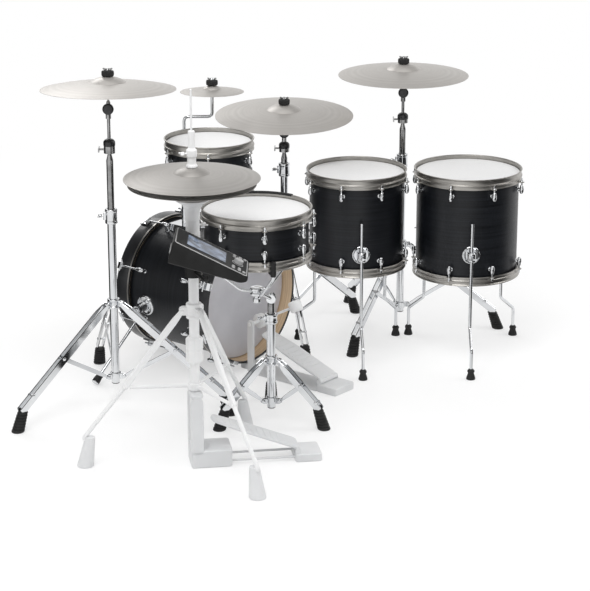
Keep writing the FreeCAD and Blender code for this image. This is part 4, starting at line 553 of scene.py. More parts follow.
# %% A mesh under construction
class Piece:
    def __init__(self):
        self.points = []
        self.faces = []
        self.marks = []

    def skin(self, rings, mark, wrap, caps):
        """Joins rings of equal length with quads; wrap joins the last ring to the first."""
        first = len(self.points)
        count = len(rings[0])
        for ring in rings:
            self.points.extend(ring)
        pairs = len(rings) if wrap else len(rings) - 1
        for step in range(pairs):
            here, there = first + step * count, first + (step + 1) % len(rings) * count
            for index in range(count):
                after = (index + 1) % count
                self.faces.append((here + index, here + after, there + after, there + index))
                self.marks.append(mark)
        if caps:
            for start in (first, first + (len(rings) - 1) * count):
                self.faces.append(tuple(range(start, start + count)))
                self.marks.append(mark)

    def lathe(self, at, profile, mark=0, steps=36, start=0.0, sweep=360.0):
        """Turns a closed profile of (radius, height) points round the Z axis of a placement."""
        whole = sweep == 360.0
        rings = []
        for step in range(steps if whole else steps + 1):
            angle = math.radians(start + sweep * step / steps)
            cosine, sine = math.cos(angle), math.sin(angle)
            rings.append([at @ Vector((p[0] * cosine, p[0] * sine, p[1])) for p in profile])
        self.skin(rings, mark, whole, not whole)

    def turned(self, at, profile, soft, mark=0, steps=36, corner_steps=4):
        """A lathe shape whose profile has soft corners."""
        self.lathe(at, rounded(profile, soft, True, corner_steps), mark, steps)

    def rod(self, at, radius, low, high, mark=0, steps=20, soft=0.6):
        """A round bar along Z with softened ends."""
        self.lathe(at, [(0, low), (radius - soft, low), (radius, low + soft), (radius, high - soft),
                        (radius - soft, high), (0, high)], mark, steps)

    def tube(self, path, radius, bend=0.0, mark=0, steps=14):
        """A round bar along a path whose corners are rounded."""
        path = rounded(path, bend, False, 6) if bend else [Vector(p) for p in path]
        rings = []
        side = None
        for index, point in enumerate(path):
            ahead = path[min(index + 1, len(path) - 1)] - path[max(index - 1, 0)]
            ahead.normalize()
            side = ahead.orthogonal() if side is None else side - ahead * side.dot(ahead)
            side.normalize()
            over = ahead.cross(side)
            angles = [2 * math.pi * step / steps for step in range(steps)]
            rings.append([point + (side * math.cos(a) + over * math.sin(a)) * radius for a in angles])
        self.skin(rings, mark, False, True)

    def slab(self, at, outline, low, high, soft=1.0, mark=0):
        """A flat outline with thickness along Z and softened edges."""
        flat = [Vector(p).to_3d() for p in outline]
        small = inset(flat, soft)
        rings = []
        for ring, height in ((small, low), (flat, low + soft), (flat, high - soft), (small, high)):
            rings.append([at @ Vector((p.x, p.y, height)) for p in ring])
        self.skin(rings, mark, False, True)

    def block(self, at, length, width, low, high, corner=2.0, soft=1.0, mark=0):
        """A plate centred on a placement, with round corners and softened edges."""
        x, y = length / 2, width / 2
        self.slab(at, rounded([(-x, -y), (x, -y), (x, y), (-x, y)], corner), low, high, soft, mark)

    def made(self, name, body, slot, materials, replaced=()):
        """Makes the object, which rides on a body and may stand for solids of the frame."""
        mesh = bpy.data.meshes.new(name)
        mesh.from_pydata([p * 0.001 for p in self.points], [], self.faces)
        for material in materials:
            mesh.materials.append(material)
        mesh.polygons.foreach_set("material_index", self.marks)
        form = bmesh.new()
        form.from_mesh(mesh)
        bmesh.ops.remove_doubles(form, verts=form.verts, dist=2e-6)
        bmesh.ops.dissolve_degenerate(form, dist=1e-7, edges=form.edges)
        bmesh.ops.recalc_face_normals(form, faces=form.faces)
        form.to_mesh(mesh)
        form.free()
        mesh.polygons.foreach_set("use_smooth", [True] * len(mesh.polygons))
        mesh.set_sharp_from_angle(angle=math.radians(38))
        thing = bpy.data.objects.new(name, mesh)
        bpy.context.scene.collection.objects.link(thing)
        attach(thing, body)
        if replaced:
            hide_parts(*replaced)
        print("made", name, "with", len(mesh.polygons), "faces")


# %% [markdown]
# ## Rims
# Each drum has flanged metal rims: a rolled lip on top, a plain wall, and a second flange below that
# carries an ear for each tension rod. A rim could be a thin tube with a bevel. One turned profile with
# soft corners shows the lip and the groove under it, which catch the light all round the drum.

# %% Places of the drums
# How many rods each drum has, and the direction of the first
DRUMS = {"rack_tom": (6, 40.0), "left_floor_tom": (8, 245.8), "right_floor_tom": (8, 242.2),
         "snare": (8, -132.0)}


def millimetres(name):
    """A solid's box in millimetres: low corner and high corner."""
    low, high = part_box(name)
    return Vector(low) * 1000, Vector(high) * 1000


def drum_places(name):
    """Radius, top frame and bottom frame of a drum; both frames look outwards from the bearing edge."""
    low, high = millimetres(name + "_shell")
    centre = (low + high) / 2
    top = place(centre.x, centre.y, high.z)
    bottom = place(centre.x, centre.y, low.z, 0, 180, "X")
    return (high.x - low.x) / 2, top, bottom


# %% Rims of four drums
LIP = [(5.4, -20.0), (5.4, 12.6), (6.6, 14.0), (9.6, 14.0), (10.6, 12.8), (10.2, 11.4), (8.2, 9.8),
       (6.8, 8.0), (6.8, -3.0), (8.2, -4.6), (10.3, -5.6), (10.6, -7.6), (9.2, -9.2), (8.5, -11.0),
       (8.7, -16.5), (10.4, -20.0)]
EAR = [(7, -10), (17, -8), (24, -4), (24, 4), (17, 8), (7, 10)]
LOW_RIM_TRIM = 4.0

for name, (count, phase) in DRUMS.items():
    radius, top, bottom = drum_places(name)
    rims = Piece()
    for end, flipped in ((top, False), (bottom, True)):
        trim = LOW_RIM_TRIM if flipped else 0.0
        profile = [(radius + r, z - trim if z > 7.9 else z) for r, z in LIP]
        rims.turned(end, profile, 0.9, 0, 96, 2)
        ear = rounded([(radius + x, y) for x, y in EAR], 3.0)
        for angle in turns(count, phase, flipped):
            rims.slab(end @ place(turn=angle), ear, -20.2, -17.4, 0.8)
    rims.made(name + "_rims", name, "nickel", [PEWTER], [name + "_hoops"])

# %% [markdown]
# ## Lugs, tension rods and leg brackets
# Small teardrop lugs stand off the shell and take a thin rod from each rim. The floor toms also have
# round chrome brackets with a clamp block for each leg. These small parts repeat dozens of times. They
# could be copies of linked objects, but a function that adds one form to a mesh keeps the metal of each
# drum a single piece.

# %% Lugs, rods and wing bolts
LUG = [(0, 0.4), (4.6, 0.4), (5.6, -0.8), (5.6, -4.5), (6.4, -7.0), (7.6, -13.0), (7.3, -19.0), (5.6, -24.5),
       (2.6, -27.6), (0, -28.0)]
WASHER = [(0, 0), (5.2, 0), (5.6, 0.6), (5.6, 1.6), (4.6, 2.6), (4.2, 4.2), (0, 4.2)]


def lug(piece, at, reach):
    """A lug with its rod along Z and its foot on the shell at -X."""
    piece.lathe(at, LUG, 0, 20)
    foot = at @ place(z=-13.0, tilt=-90)
    piece.lathe(foot, [(0, 2), (5.2, 2), (5.2, reach - 3.5), (7.4, reach - 2.5), (7.4, reach - 0.1),
                       (0, reach)], 0, 18)


def key_rod(piece, at, low):
    """A tension rod with a washer on z = 0 and a square key head."""
    piece.rod(at, 2.7, low, 4.0)
    piece.lathe(at, WASHER, 0, 20)
    piece.block(at, 5.6, 5.6, 4.0, 12.0, 0.8, 0.6)


def wing_bolt(piece, at, mark=0):
    """A wing bolt that points along X: a stem, a collar and two rounded wings."""
    along = at @ place(tilt=90)
    piece.rod(along, 3.0, 0, 14, mark, 14)
    piece.lathe(along, [(0, 8), (4.6, 8), (5.6, 10), (5.6, 17), (4.2, 19), (0, 19)], mark, 18)
    wings = rounded([(10, -5), (15, -16), (21, -16), (19, 0), (21, 16), (15, 16), (10, 5)], 3.0)
    piece.slab(at, wings, -1.8, 1.8, 0.8, mark)


# %% Brackets
# Directions of the three legs, and the height of their brackets
BRACKETS = {"left_floor_tom": ((223.3, 3.5, 88.3), 389.0),
            "right_floor_tom": ((219.7, 354.7, 81.0), 387.0)}
DISC = [(0, -4), (29.5, -4), (29.5, 5.0), (28.2, 7.4), (26.0, 8.4), (23.6, 7.6), (22.4, 5.6), (14.0, 5.6),
        (12.6, 7.0), (12.6, 9.5), (0, 9.5)]
BLOCK = [(2, -15), (30, -14), (38, -9), (41, 0), (38, 9), (30, 14), (2, 15)]
CHEEK = [(2, -16), (26, -13), (44, -11), (47, 0), (44, 11), (26, 13), (2, 16)]


def leg_bracket(piece, side, radius):
    """A round bracket on a floor tom, with a clamp block and its wing bolt."""
    piece.lathe(side @ place(radius, tilt=90), DISC, 0, 40)
    piece.slab(side @ place(radius), rounded(BLOCK, 4), -15, 15, 2.5)
    wing_bolt(piece, side @ place(radius + 40))


def tilt_bracket(piece, side, radius):
    """The rack tom's plate, with two cheeks that carry its tilting pin."""
    piece.block(side @ place(radius, tilt=90), 64.0, 46.0, -3.0, 7.0, 8.0, 2.0)
    for offset in (-12.8, 12.8):
        upright = side @ place(radius, offset, tilt=90, about="X")
        piece.slab(upright, rounded(CHEEK, 6), -3.5, 3.5, 1.2)
        piece.rod(upright @ place(34.0), 7.0, -5.0, 5.0)
    piece.rod(side @ place(radius + 34, 0, tilt=90, about="X"), 3.0, -20.0, 20.0)


# %% Hardware of four drums
ROD_OUT = 16.0
HOLDER_TURN = 55.47
HOLDER_DROP = 75.0

for name, (count, phase) in DRUMS.items():
    radius, top, bottom = drum_places(name)
    centre = top.to_translation()
    metal = Piece()
    for end, flipped in ((top, False), (bottom, True)):
        for angle in turns(count, phase, flipped):
            at = end @ place(turn=angle) @ place(radius + ROD_OUT)
            lug(metal, at @ place(z=-30), ROD_OUT)
            key_rod(metal, at @ place(z=-17.6), -30.0)
    if name in BRACKETS:
        angles, bracket_height = BRACKETS[name]
        for angle in angles:
            leg_bracket(metal, place(centre.x, centre.y, bracket_height, angle), radius)
    if name == "rack_tom":
        tilt_bracket(metal, place(centre.x, centre.y, centre.z - HOLDER_DROP, HOLDER_TURN), radius)
    metal.made(name + "_metal", name, "chrome", [CHROME], [name + "_hardware"])

# %% [markdown]
# ## The bass drum's hoops, claws and brackets
# Its hoops are bent wood: black outside, bare maple inside, with a thin pewter line let into the edge
# next to the shell. Claws hook over the hoops, and T-rods pull them towards lugs on the shell. One hoop
# could be painted in three colours by a shader, but three turned rings keep the edges between the
# materials sharp.

# %% Bass drum hoops
low, high = millimetres("kick_shell")
KICK_X, KICK_Z = (low.x + high.x) / 2, (low.z + high.z) / 2
KICK_RADIUS = (high.x - low.x) / 2
KICK_ENDS = (place(KICK_X, high.y, KICK_Z, 0, -90, "X"), place(KICK_X, low.y, KICK_Z, 0, 90, "X"))
SPUR_Y = high.y - 72.0
inner, outer = KICK_RADIUS + 6.5, KICK_RADIUS + 14.7
hoops = Piece()
for end in KICK_ENDS:
    hoops.turned(end, [(inner, -9), (outer, -9), (outer, 43), (inner, 43)], 2.0, 0, 128, 3)
    hoops.lathe(end, [(inner - 0.25, -8), (inner + 1, -8), (inner + 1, 41.5), (inner - 0.25, 41.5)], 1, 128)
    hoops.lathe(end, [(outer - 1, -8.4), (outer + 0.3, -8.4), (outer + 0.3, -3.2), (outer - 1, -3.2)],
                2, 128)
hoops.made("kick_wood_hoops", "kit", "hoop_black", [HOOP_BLACK, MAPLE, PEWTER], ["kick_hoops"])

# %% Bass drum hardware
SPUR_DROP = 8.5
SPUR_BRACKET = [(0, -6), (34, -6), (34, 4.5), (32.4, 7.4), (30, 8.6), (27, 7.8), (25.6, 5.4), (17.5, 5.4),
                (16.2, 7.5), (15.5, 30), (14.4, 36.6), (0, 36.6)]
CLAW = [(-6.5, 43.1), (0.2, 43.1), (0.2, 15), (20, 15), (20, 20), (6, 21), (5, 46), (-6.5, 46)]

claws = Piece()
claw_bend = rounded([(outer + x, z) for x, z in CLAW], 2.0)
for end, flipped in zip(KICK_ENDS, (False, True)):
    for angle in turns(8, 22.5, flipped):
        side = end @ place(turn=angle)
        claws.slab(side @ SIDEWAYS, claw_bend, -12, 12, 1.2)
        bore = side @ place(KICK_RADIUS + 27)
        claws.rod(bore, 3.0, -60, 24)
        claws.lathe(bore, [(0, 19), (6, 19), (6.6, 20), (6.6, 22), (5, 24), (0, 24)], 0, 20)
        claws.rod(bore @ place(0, 19, 26, tilt=90, about="X"), 3.2, 0, 38, 0, 14, 1.6)
        lug(claws, bore @ place(z=-45), 27.0)
for sign in (-1, 1):
    side = place(KICK_X, SPUR_Y, KICK_Z, 90 - 90 * sign) @ place(tilt=SPUR_DROP)
    face = side @ place(KICK_RADIUS, tilt=90)
    claws.lathe(face, SPUR_BRACKET, 0, 48)
    claws.rod(face, 5.0, 30, 48.2)
    claws.lathe(face, [(0, 47.8), (9, 47.8), (9, 50), (7, 51.8), (0, 52)], 0, 24)
    for angle in turns(4, 45):
        claws.rod(face @ place(turn=angle) @ place(21.5), 2.6, 5, 7.6, 0, 12)
claws.made("kick_claws_and_lugs", "kit", "chrome", [CHROME], ["kick_hardware"])

# %% [markdown]
# ## Tripods
# Three legs of paired flat bars hang from a hub, and a strut from a lower collar holds each leg open.
# Ribbed rubber boots lean the way the legs run. Only the left stand folds, so its links are pieces of
# their own; on the other stands they share one piece. A bar could be a plain box, but an outline with
# thickness can taper towards its pin and have soft edges.

# %% Bars, rivets and boots
HUB_PIVOT, COLLAR_PIVOT, ANKLE = 27.0, 28.0, 60.0
RIB = ((0.1, 0.6), (0.5, 0.6), (0.64, -2.4), (0.94, -2.4))


def bar(start, end, near, far):
    """The outline of a flat bar that widens from a pin to its far end."""
    start, end = Vector(start), Vector(end)
    along = (end - start).normalized()
    side = Vector((-along.y, along.x))
    shoulder, tip = start + along * 40, end + along * far * 0.4
    return rounded([start - along * near + side * near * 0.55, shoulder + side * far, tip + side * far,
                    tip - side * far, shoulder - side * far, start - along * near - side * near * 0.55], 6.0)


def rivet(piece, at, half, mark=0):
    """A pin across a pair of bars, with a domed head on each side."""
    piece.rod(at, 3.0, -half, half, mark, 14)
    head = [(0, half - 1), (5.6, half - 1), (5.6, half + 0.6), (4, half + 2), (0, half + 2.4)]
    for flip in (0, 180):
        piece.lathe(at @ place(tilt=flip, about="X"), head, mark, 18)


def boot(piece, at, radius, top, height, lean, ribs, mark=0):
    """A foot on z = 0 of a placement, ribbed or smooth; lean slides it towards -X as it rises."""
    slope = Matrix.Identity(4)
    slope[0][2] = -lean
    profile = [(0, 0), (radius - 2, 0), (radius, 1.6)]
    for rib in range(ribs):
        for share, step in RIB:
            z = 4 + (height - 10) * (rib + share) / ribs
            profile.append((radius + (top - radius) * z / height + step, z))
    profile += [(top + 0.8, height - 5), (top - 0.5, height - 0.5), (top - 3, height + 0.5),
                (0, height + 0.5)]
    piece.lathe(at @ slope, profile, mark, 28)


# %% Legs and struts
def leg(piece, at, hub, spread, rubber_mark):
    """A pair of bars from the hub's pin to the boot, tied by rivets."""
    pin, ankle = Vector((HUB_PIVOT, hub)), Vector((spread, ANKLE))
    outline = bar(pin, (spread - 16, ANKLE + 3), 8.0, 11.0)
    for low in (7.0, -10.6):
        piece.slab(on_radius(at), outline, low, low + 3.6, 0.9)
    for share in (0.0, 0.5, 0.84):
        x, z = pin.lerp(ankle, share)
        rivet(piece, on_radius(at, x, z), 10.6)
    boot(piece, at @ place(spread), 19.4, 15.6, 60.0, 0.36, 6, rubber_mark)


def strut(piece, at, hub, collar, spread):
    """The flat bar that holds a leg open."""
    joint = Vector((HUB_PIVOT, hub)).lerp(Vector((spread, ANKLE)), 0.5)
    piece.slab(on_radius(at), bar((COLLAR_PIVOT, collar), joint, 6.0, 6.6), -2.0, 2.0, 0.8)


# %% Hub, collar and column
HUB = [(12.9, -15), (18.4, -15), (19, -13.5), (19, -8), (17.4, -6.5), (17.4, 6.5), (19, 8), (19, 13.5),
       (18.4, 15), (12.9, 15)]
TONGUE = [(14, -9), (27, -10), (34, -7), (36, 0), (34, 7), (27, 10), (14, 9)]
COLLAR = [(12.9, -11), (16.4, -11), (17, -9), (17, 9), (16.4, 11), (12.9, 11)]
COLLAR_CHEEK = [(14, -8), (28, -8), (34, -5), (36, 0), (34, 5), (28, 8), (14, 8)]
# The direction that levers, discs and the module are set by
VIEW_TURN = -51.0


def hub_ring(piece, at, angles):
    """The ring that the legs hang from, with a tongue between the bars of each leg."""
    piece.turned(at, HUB, 0.8, 0, 40, 2)
    for angle in angles:
        side = at @ place(turn=angle)
        piece.slab(on_radius(side), rounded(TONGUE, 4), -4, 4, 1.0)
        piece.rod(on_radius(side, HUB_PIVOT), 7.0, -6.9, 6.9)


def collar_ring(piece, at, angles):
    """The lower collar, with a pair of cheeks for each strut."""
    piece.turned(at, COLLAR, 0.8, 0, 40, 2)
    for angle in angles:
        side = at @ place(turn=angle)
        for low in (2.3, -4.8):
            piece.slab(on_radius(side), rounded(COLLAR_CHEEK, 3), low, low + 2.5, 0.7)
        rivet(piece, on_radius(side, COLLAR_PIVOT), 4.8)


def column(piece, at, low, clamp, half):
    """A stand's lower tube with its end plug, and the clamp on top with its wing bolt."""
    piece.lathe(at, [(10.8, low), (12.7, low), (12.7, clamp), (10.8, clamp)], 0, 40)
    piece.lathe(at, [(0, low - 3), (11.4, low - 3), (12.5, low - 1.6), (12.5, low - 0.1), (0, low - 0.1)],
                1, 32)
    top = at @ place(z=clamp)
    piece.turned(top, [(12.2, half - 5), (12.9, half - 6), (12.9, -half), (17.6, -half), (19, -half + 2),
                       (19, -half + 8), (18, -half + 9.5), (18, half - 9.5), (19, half - 8), (19, half - 2),
                       (17.6, half), (12.2, half)], 0.9, 0, 40, 2)
    lever = top @ place(turn=VIEW_TURN + 180)
    piece.block(lever @ place(19, tilt=90), half * 1.1, 13.0, -4.0, 5.0, 3.0, 1.2)
    wing_bolt(piece, lever @ place(20))


# %% Tripods of the four stands
STANDS = {"left": (-456.6, 248.7), "middle": (394.4, 268.7), "ride": (685.4, -4.3),
          "snare": (-265.6, -219.3)}
# Heights of hub and collar, the legs' reach and first direction, the clamp's height and half its length
TRIPODS = {"left": (323.0, 89.0, 375.0, 172.0, 600.0, 23.0),
           "middle": (300.0, 86.0, 338.0, 231.3, 575.0, 23.0),
           "ride": (300.0, 86.0, 338.0, 188.7, 593.0, 23.0),
           "snare": (190.0, 62.0, 182.0, 40.0, 322.0, 15.0)}


def folding_links(at, angles, hub, collar, spread):
    """The left stand's hub, legs and struts, each a piece on its own body."""
    ring = Piece()
    hub_ring(ring, at @ place(z=hub), angles)
    ring.made("left_hub_ring", "left_hub", "chrome", [CHROME], ["left_stand_hub"])
    for number, angle in enumerate(angles, 1):
        bars = Piece()
        leg(bars, at @ place(turn=angle), hub, spread, 1)
        bars.made("left_leg_bars_%d" % number, "left_leg_%d" % number, "chrome", [CHROME, RUBBER],
                  ["left_stand_leg_%d" % number])
        link = Piece()
        strut(link, at @ place(turn=angle), hub, collar, spread)
        link.made("left_strut_%d" % number, "left_brace_%d" % number, "chrome", [CHROME],
                  ["left_stand_brace_%d" % number])


for name, (hub, collar, spread, phase, clamp, half) in TRIPODS.items():
    at = place(*STANDS[name])
    angles = turns(3, phase)
    base = Piece()
    column(base, at, collar - 22, clamp, half)
    collar_ring(base, at @ place(z=collar), angles)
    if name == "left":
        base.made("left_column", "kit", "chrome", [CHROME, BLACK_PLASTIC], ["left_stand_base"])
        folding_links(at, angles, hub, collar, spread)
    else:
        hub_ring(base, at @ place(z=hub), angles)
        for angle in angles:
            leg(base, at @ place(turn=angle), hub, spread, 2)
            strut(base, at @ place(turn=angle), hub, collar, spread)
        base.made(name + "_tripod", "kit", "chrome", [CHROME, BLACK_PLASTIC, RUBBER], [name + "_stand_base"])

# %% [markdown]
# ## Small feet
# The floor toms' legs end in rubber bells with a collar ring, the spurs in rubber sleeves laid along the
# rod, and the pale hi-hat stand in smooth moulded feet of its own colour. A sphere or a cone could
# stand for each. Turned profiles show the collar, and a sheared one leans with its leg.

# %% Feet of the legs and the hi-hat stand
LEG_OUT = 95.0
BELL = [(0, 0), (14.4, 0), (14.8, 3), (13.4, 9), (10.6, 17), (9.4, 22), (11.6, 24.5), (11.6, 29.5),
        (9.0, 32), (7.4, 35), (0, 35)]
HIHAT = place(-671.6, -273.3)
HIHAT_PHASE = 13.8
HIHAT_REACH = 318.0

feet = Piece()
for name, (angles, _) in BRACKETS.items():
    radius, top, _ = drum_places(name)
    centre = top.to_translation()
    for angle in angles:
        feet.turned(place(centre.x, centre.y, 0, angle) @ place(radius + LEG_OUT), BELL, 1.2, 0, 28, 3)
feet.made("leg_feet", "kit", "rubber", [RUBBER], ["rubber_feet"])
pale_feet = Piece()
for angle in turns(3, HIHAT_PHASE):
    boot(pale_feet, HIHAT @ place(turn=angle) @ place(HIHAT_REACH), 24.6, 14.4, 88.0, 0.18, 0)
pale_feet.made("hihat_feet", "kit", "white_metal", [LACQUER])

# %% Spur tips
# Side of the drum, and the spur's lean and stride in degrees
SPURS = {"left": (-1, 51.5, 0.0), "right": (1, 41.0, 8.5)}
SPUR_NECK = Vector((245.3, 0, -28.0))
SPUR_TIP_RADIUS = 12.0
SPUR_TIP = [(0, 0.2), (11.4, 0.2), (12.4, 1.6), (12.4, 12), (11.6, 18), (10.6, 24), (11.2, 27), (11.2, 33),
            (9.4, 35), (0, 35)]

for name, (sign, lean, stride) in SPURS.items():
    side = place(KICK_X, SPUR_Y, KICK_Z, 90 - 90 * sign)
    lean, stride = math.radians(lean), math.radians(stride * sign)
    away = Vector((math.sin(lean) * math.cos(stride), math.sin(lean) * math.sin(stride), -math.cos(lean)))
    neck = place(tilt=SPUR_DROP) @ SPUR_NECK
    tip = neck + away * ((KICK_Z + neck.z - SPUR_TIP_RADIUS * math.sin(lean)) / math.cos(lean))
    laid = Vector((0, 0, 1)).rotation_difference(-away).to_matrix().to_4x4()
    cover = Piece()
    cover.turned(side @ Matrix.Translation(tip) @ laid, SPUR_TIP, 1.0, 0, 28, 3)
    cover.made("spur_tip_" + name, "spur_" + name, "rubber", [RUBBER])

# %% [markdown]
# ## The snare's basket and rim guard
# Three arms reach from a hub under the drum to rubber grips outside its lower rim. A strip of black
# rubber guards part of the upper rim. The arms could be straight bars with elbows. They are bent tubes,
# because the real ones are bent rods.

# %% A toothed outline
def toothed(count, crest, valley):
    """A round outline with teeth."""
    angles = [2 * math.pi * step / count for step in range(count)]
    reach = [crest if step % 2 else valley for step in range(count)]
    return [(math.cos(angle) * r, math.sin(angle) * r) for angle, r in zip(angles, reach)]


RATCHET = toothed(48, 15, 13.9)
print("a ratchet disc with", len(RATCHET) // 2, "teeth")

# %% Snare basket
BASKET_X, BASKET_Y, BASKET_Z = -320.6, -210.3, 419.0
BASKET_PHASE = -4.0
BASKET_REACH = 173.3
BASKET_ARM = ((0, 0, BASKET_Z), (50, 0, BASKET_Z), (BASKET_REACH, 0, 507), (BASKET_REACH, 0, 530))
GRIP = [(0, -12), (6.6, -12), (8.5, -10), (8.5, 4), (7.8, 5), (7.8, 8), (8.5, 9), (8.5, 16),
        (7.8, 17), (7.8, 20), (8.5, 21), (8.5, 30), (6, 34), (0, 34)]
BASKET_HUB = [(0, -12), (18.5, -12), (20, -9), (20, -4), (17, -2), (17, 2), (20, 4), (20, 9),
              (18.5, 12), (0, 12)]
BASKET_NUT = [(0, -13), (9, -13), (9, -20), (12, -22), (12, -34), (9, -36), (0, -36)]

basket = Piece()
under = place(BASKET_X, BASKET_Y)
pivot = place(*STANDS["snare"], 385.0, VIEW_TURN + 180)
basket.turned(under @ place(z=BASKET_Z), BASKET_NUT, 1.5, 0, 24)
basket.turned(under @ place(z=BASKET_Z), BASKET_HUB, 1.0, 0, 40, 2)
basket.slab(pivot @ place(0, 12.2, tilt=90, about="X"), RATCHET, 0, 12, 0.9)
basket.tube([pivot @ Vector((0, 6.2, 0)), Vector((BASKET_X, BASKET_Y, BASKET_Z))], 5.7)
for angle in turns(3, BASKET_PHASE):
    side = under @ place(turn=angle)
    basket.tube([side @ Vector(p) for p in BASKET_ARM], 5.0, 12.0, 0, 16)
    basket.turned(side @ place(BASKET_REACH, 0, 525), GRIP, 0.8, 1, 24, 2)
    basket.block(side @ place(158.5, 0, 517), 22.0, 18.0, 0, 7.8, 5.0, 1.4, 1)
basket.made("snare_basket_arms", "snare", "chrome", [CHROME, RUBBER], ["snare_basket"])

# %% Rim guard
GUARD = [(3.6, 9), (3.6, 15.8), (12.4, 15.8), (12.6, 10.5), (11, 10.5), (11, 14.3), (5.2, 14.3), (5.2, 9)]
GUARD_START, GUARD_SWEEP = -1.0, 91.0
radius, top, _ = drum_places("snare")
guard = Piece()
strip = rounded([(radius + r, z) for r, z in GUARD], 0.7, True, 2)
guard.lathe(top, strip, 0, 40, GUARD_START, GUARD_SWEEP)
guard.made("snare_rim_guard", "snare", "rubber", [RUBBER])

# %% [markdown]
# ## The pale hi-hat stand and the pedals
# The stand and both pedals are one pale colour; the column, legs, pull rod and beater take a lighter
# copy of it, painted light. The pull rod carries the clutch that clamps the upper cymbal. Both pedals
# have a tapered board with ribs across it, hinged at the heel. The frames could stay plain boxes, but
# soft edges, collars and pins catch the light the way such castings do.

# %% Pull rod and clutch
CLUTCH = [(3, 875.7), (16, 875.7), (16, 880), (14, 883.7), (12.4, 885), (12.4, 903), (15, 906), (15, 924),
          (12, 927), (9.6, 930), (9.6, 976), (8, 979), (3, 979)]
# The pull rod and clutch take the lighter copy of the pale lacquer: painted light.
pull = Piece()
pull.rod(HIHAT, 3.0, 160, 1094, 0, 20, 1.0)
pull.turned(HIHAT, CLUTCH, 1.2, 0, 32, 3)
pull.turned(HIHAT, [(3.1, 865.5), (12, 865.5), (12, 873.3), (3.1, 873.3)], 1.5, 0, 28)
wing_bolt(pull, HIHAT @ place(z=915, turn=150) @ place(13))
pull.made("hihat_rod_and_clutch", "hihat_pull", "white_metal", [PAINTED_LIGHT_WHITE], ["hihat_pull_rod"])


# %% Hi-hat column
COLUMN_BLOCK = [(14.4, 306), (22, 306), (25, 311), (25, 340), (23.4, 342), (23.4, 346), (25, 348), (25, 376),
                (22, 381), (14.4, 381)]
COLUMN_TOP = [(3.2, 668), (19, 668), (21, 671), (21, 690), (19.6, 692), (19.6, 724), (21, 726), (21, 746),
              (23, 757), (30, 770), (48, 782), (49.8, 785.4), (3.2, 785.4)]
COLUMN_FELT = [(3.2, 785.4), (19.6, 785.4), (20, 788), (19.6, 793.4), (3.2, 793.4)]
COLUMN_HUB = [(14.4, -22), (21.5, -22), (22.5, -20), (22.5, -13), (20.5, -11), (20.5, 11), (22.5, 13),
              (22.5, 20), (21.5, 22), (14.4, 22)]
COLUMN_COLLAR = [(14.4, -10), (19.5, -10), (20.5, -8), (20.5, 8), (19.5, 10), (14.4, 10)]
# Marks of the column's finishes: the pale lacquer, its lighter copy as painted light on the column, hub,
# collar, wing bolt and legs, and felt.
PALE, PAINTED_LIGHT_MARK, RING = 0, 1, 2
HIP_HEIGHT, KNEE_HEIGHT = 460.0, 235.0
HIHAT_FRONT = HIHAT @ place(turn=-42)

stand = Piece()
stand.turned(HIHAT, [(3.2, 52), (14.5, 52), (14.5, 300), (14.5, 668), (3.2, 668)], 0.8, PAINTED_LIGHT_MARK, 40, 2)
stand.turned(HIHAT, COLUMN_BLOCK, 1.2, PAINTED_LIGHT_MARK, 8, 2)
stand.turned(HIHAT, COLUMN_TOP, 1.4, PAINTED_LIGHT_MARK, 40, 3)
stand.turned(HIHAT, COLUMN_FELT, 1.6, RING, 32)
wing_bolt(stand, HIHAT_FRONT @ place(z=708, turn=20) @ place(20.6), PAINTED_LIGHT_MARK)
stand.turned(HIHAT @ place(z=HIP_HEIGHT), COLUMN_HUB, 1.0, PAINTED_LIGHT_MARK, 40, 2)
stand.turned(HIHAT @ place(z=KNEE_HEIGHT), COLUMN_COLLAR, 1.0, PAINTED_LIGHT_MARK, 40, 2)
print("the column has", len(stand.faces), "faces")

# %% Hi-hat legs
hip, knee, toe = Vector((32.3, HIP_HEIGHT)), Vector((201.4, KNEE_HEIGHT)), Vector((HIHAT_REACH, 80))
hip_ear = rounded([(14, -12), (34, -12), (42, -7), (42, 7), (34, 12), (14, 12)], 5)
for angle in turns(3, HIHAT_PHASE):
    side = HIHAT @ place(turn=angle)
    stand.slab(on_radius(side), bar(hip, knee, 9.0, 9.3), -6.0, 6.0, 2.2, PAINTED_LIGHT_MARK)
    for low in (6.3, -9.3):
        stand.slab(on_radius(side, 0, hip.y), hip_ear, low, low + 3.0, 0.8, PAINTED_LIGHT_MARK)
    rivet(stand, on_radius(side, hip.x, hip.y), 9.3, PAINTED_LIGHT_MARK)
    rivet(stand, on_radius(side, knee.x, knee.y), 6.6, PAINTED_LIGHT_MARK)
    shin = [side @ Vector((x, 0, z)) for x, z in (tuple(knee), (toe.x, toe.y + 8), tuple(toe))]
    stand.tube(shin, 6.4, 10.0, PAINTED_LIGHT_MARK, 16)
    stand.tube([side @ Vector((18, 0, knee.y)), side @ Vector((186, 0, knee.y))], 5.5, 0.0, PAINTED_LIGHT_MARK, 16)
print("with legs", len(stand.faces), "faces")


# %% Hi-hat pedal frame
HIHAT_HEEL = 322.0
HEEL_PIN_BACK = 31.0


def heel_plate(piece, at, reach):
    """A heel plate centred at a reach along X, with two ears for the board's pin."""
    piece.block(at @ place(reach), 78.0, 98.0, 0, 24.0, 9.0, 2.4)
    ear = rounded([(-8, -2), (8, -2), (8, 8), (5, 15), (-5, 15), (-8, 8)], 4)
    pin = at @ place(reach - HEEL_PIN_BACK, 0, 24.8) @ SIDEWAYS
    for low in (41.4, -44.2):
        piece.slab(pin, ear, low, low + 2.8, 0.7)
        piece.lathe(pin, [(0, low - 1), (5, low - 1), (5, low + 3.8), (0, low + 3.8)], 0, 20)


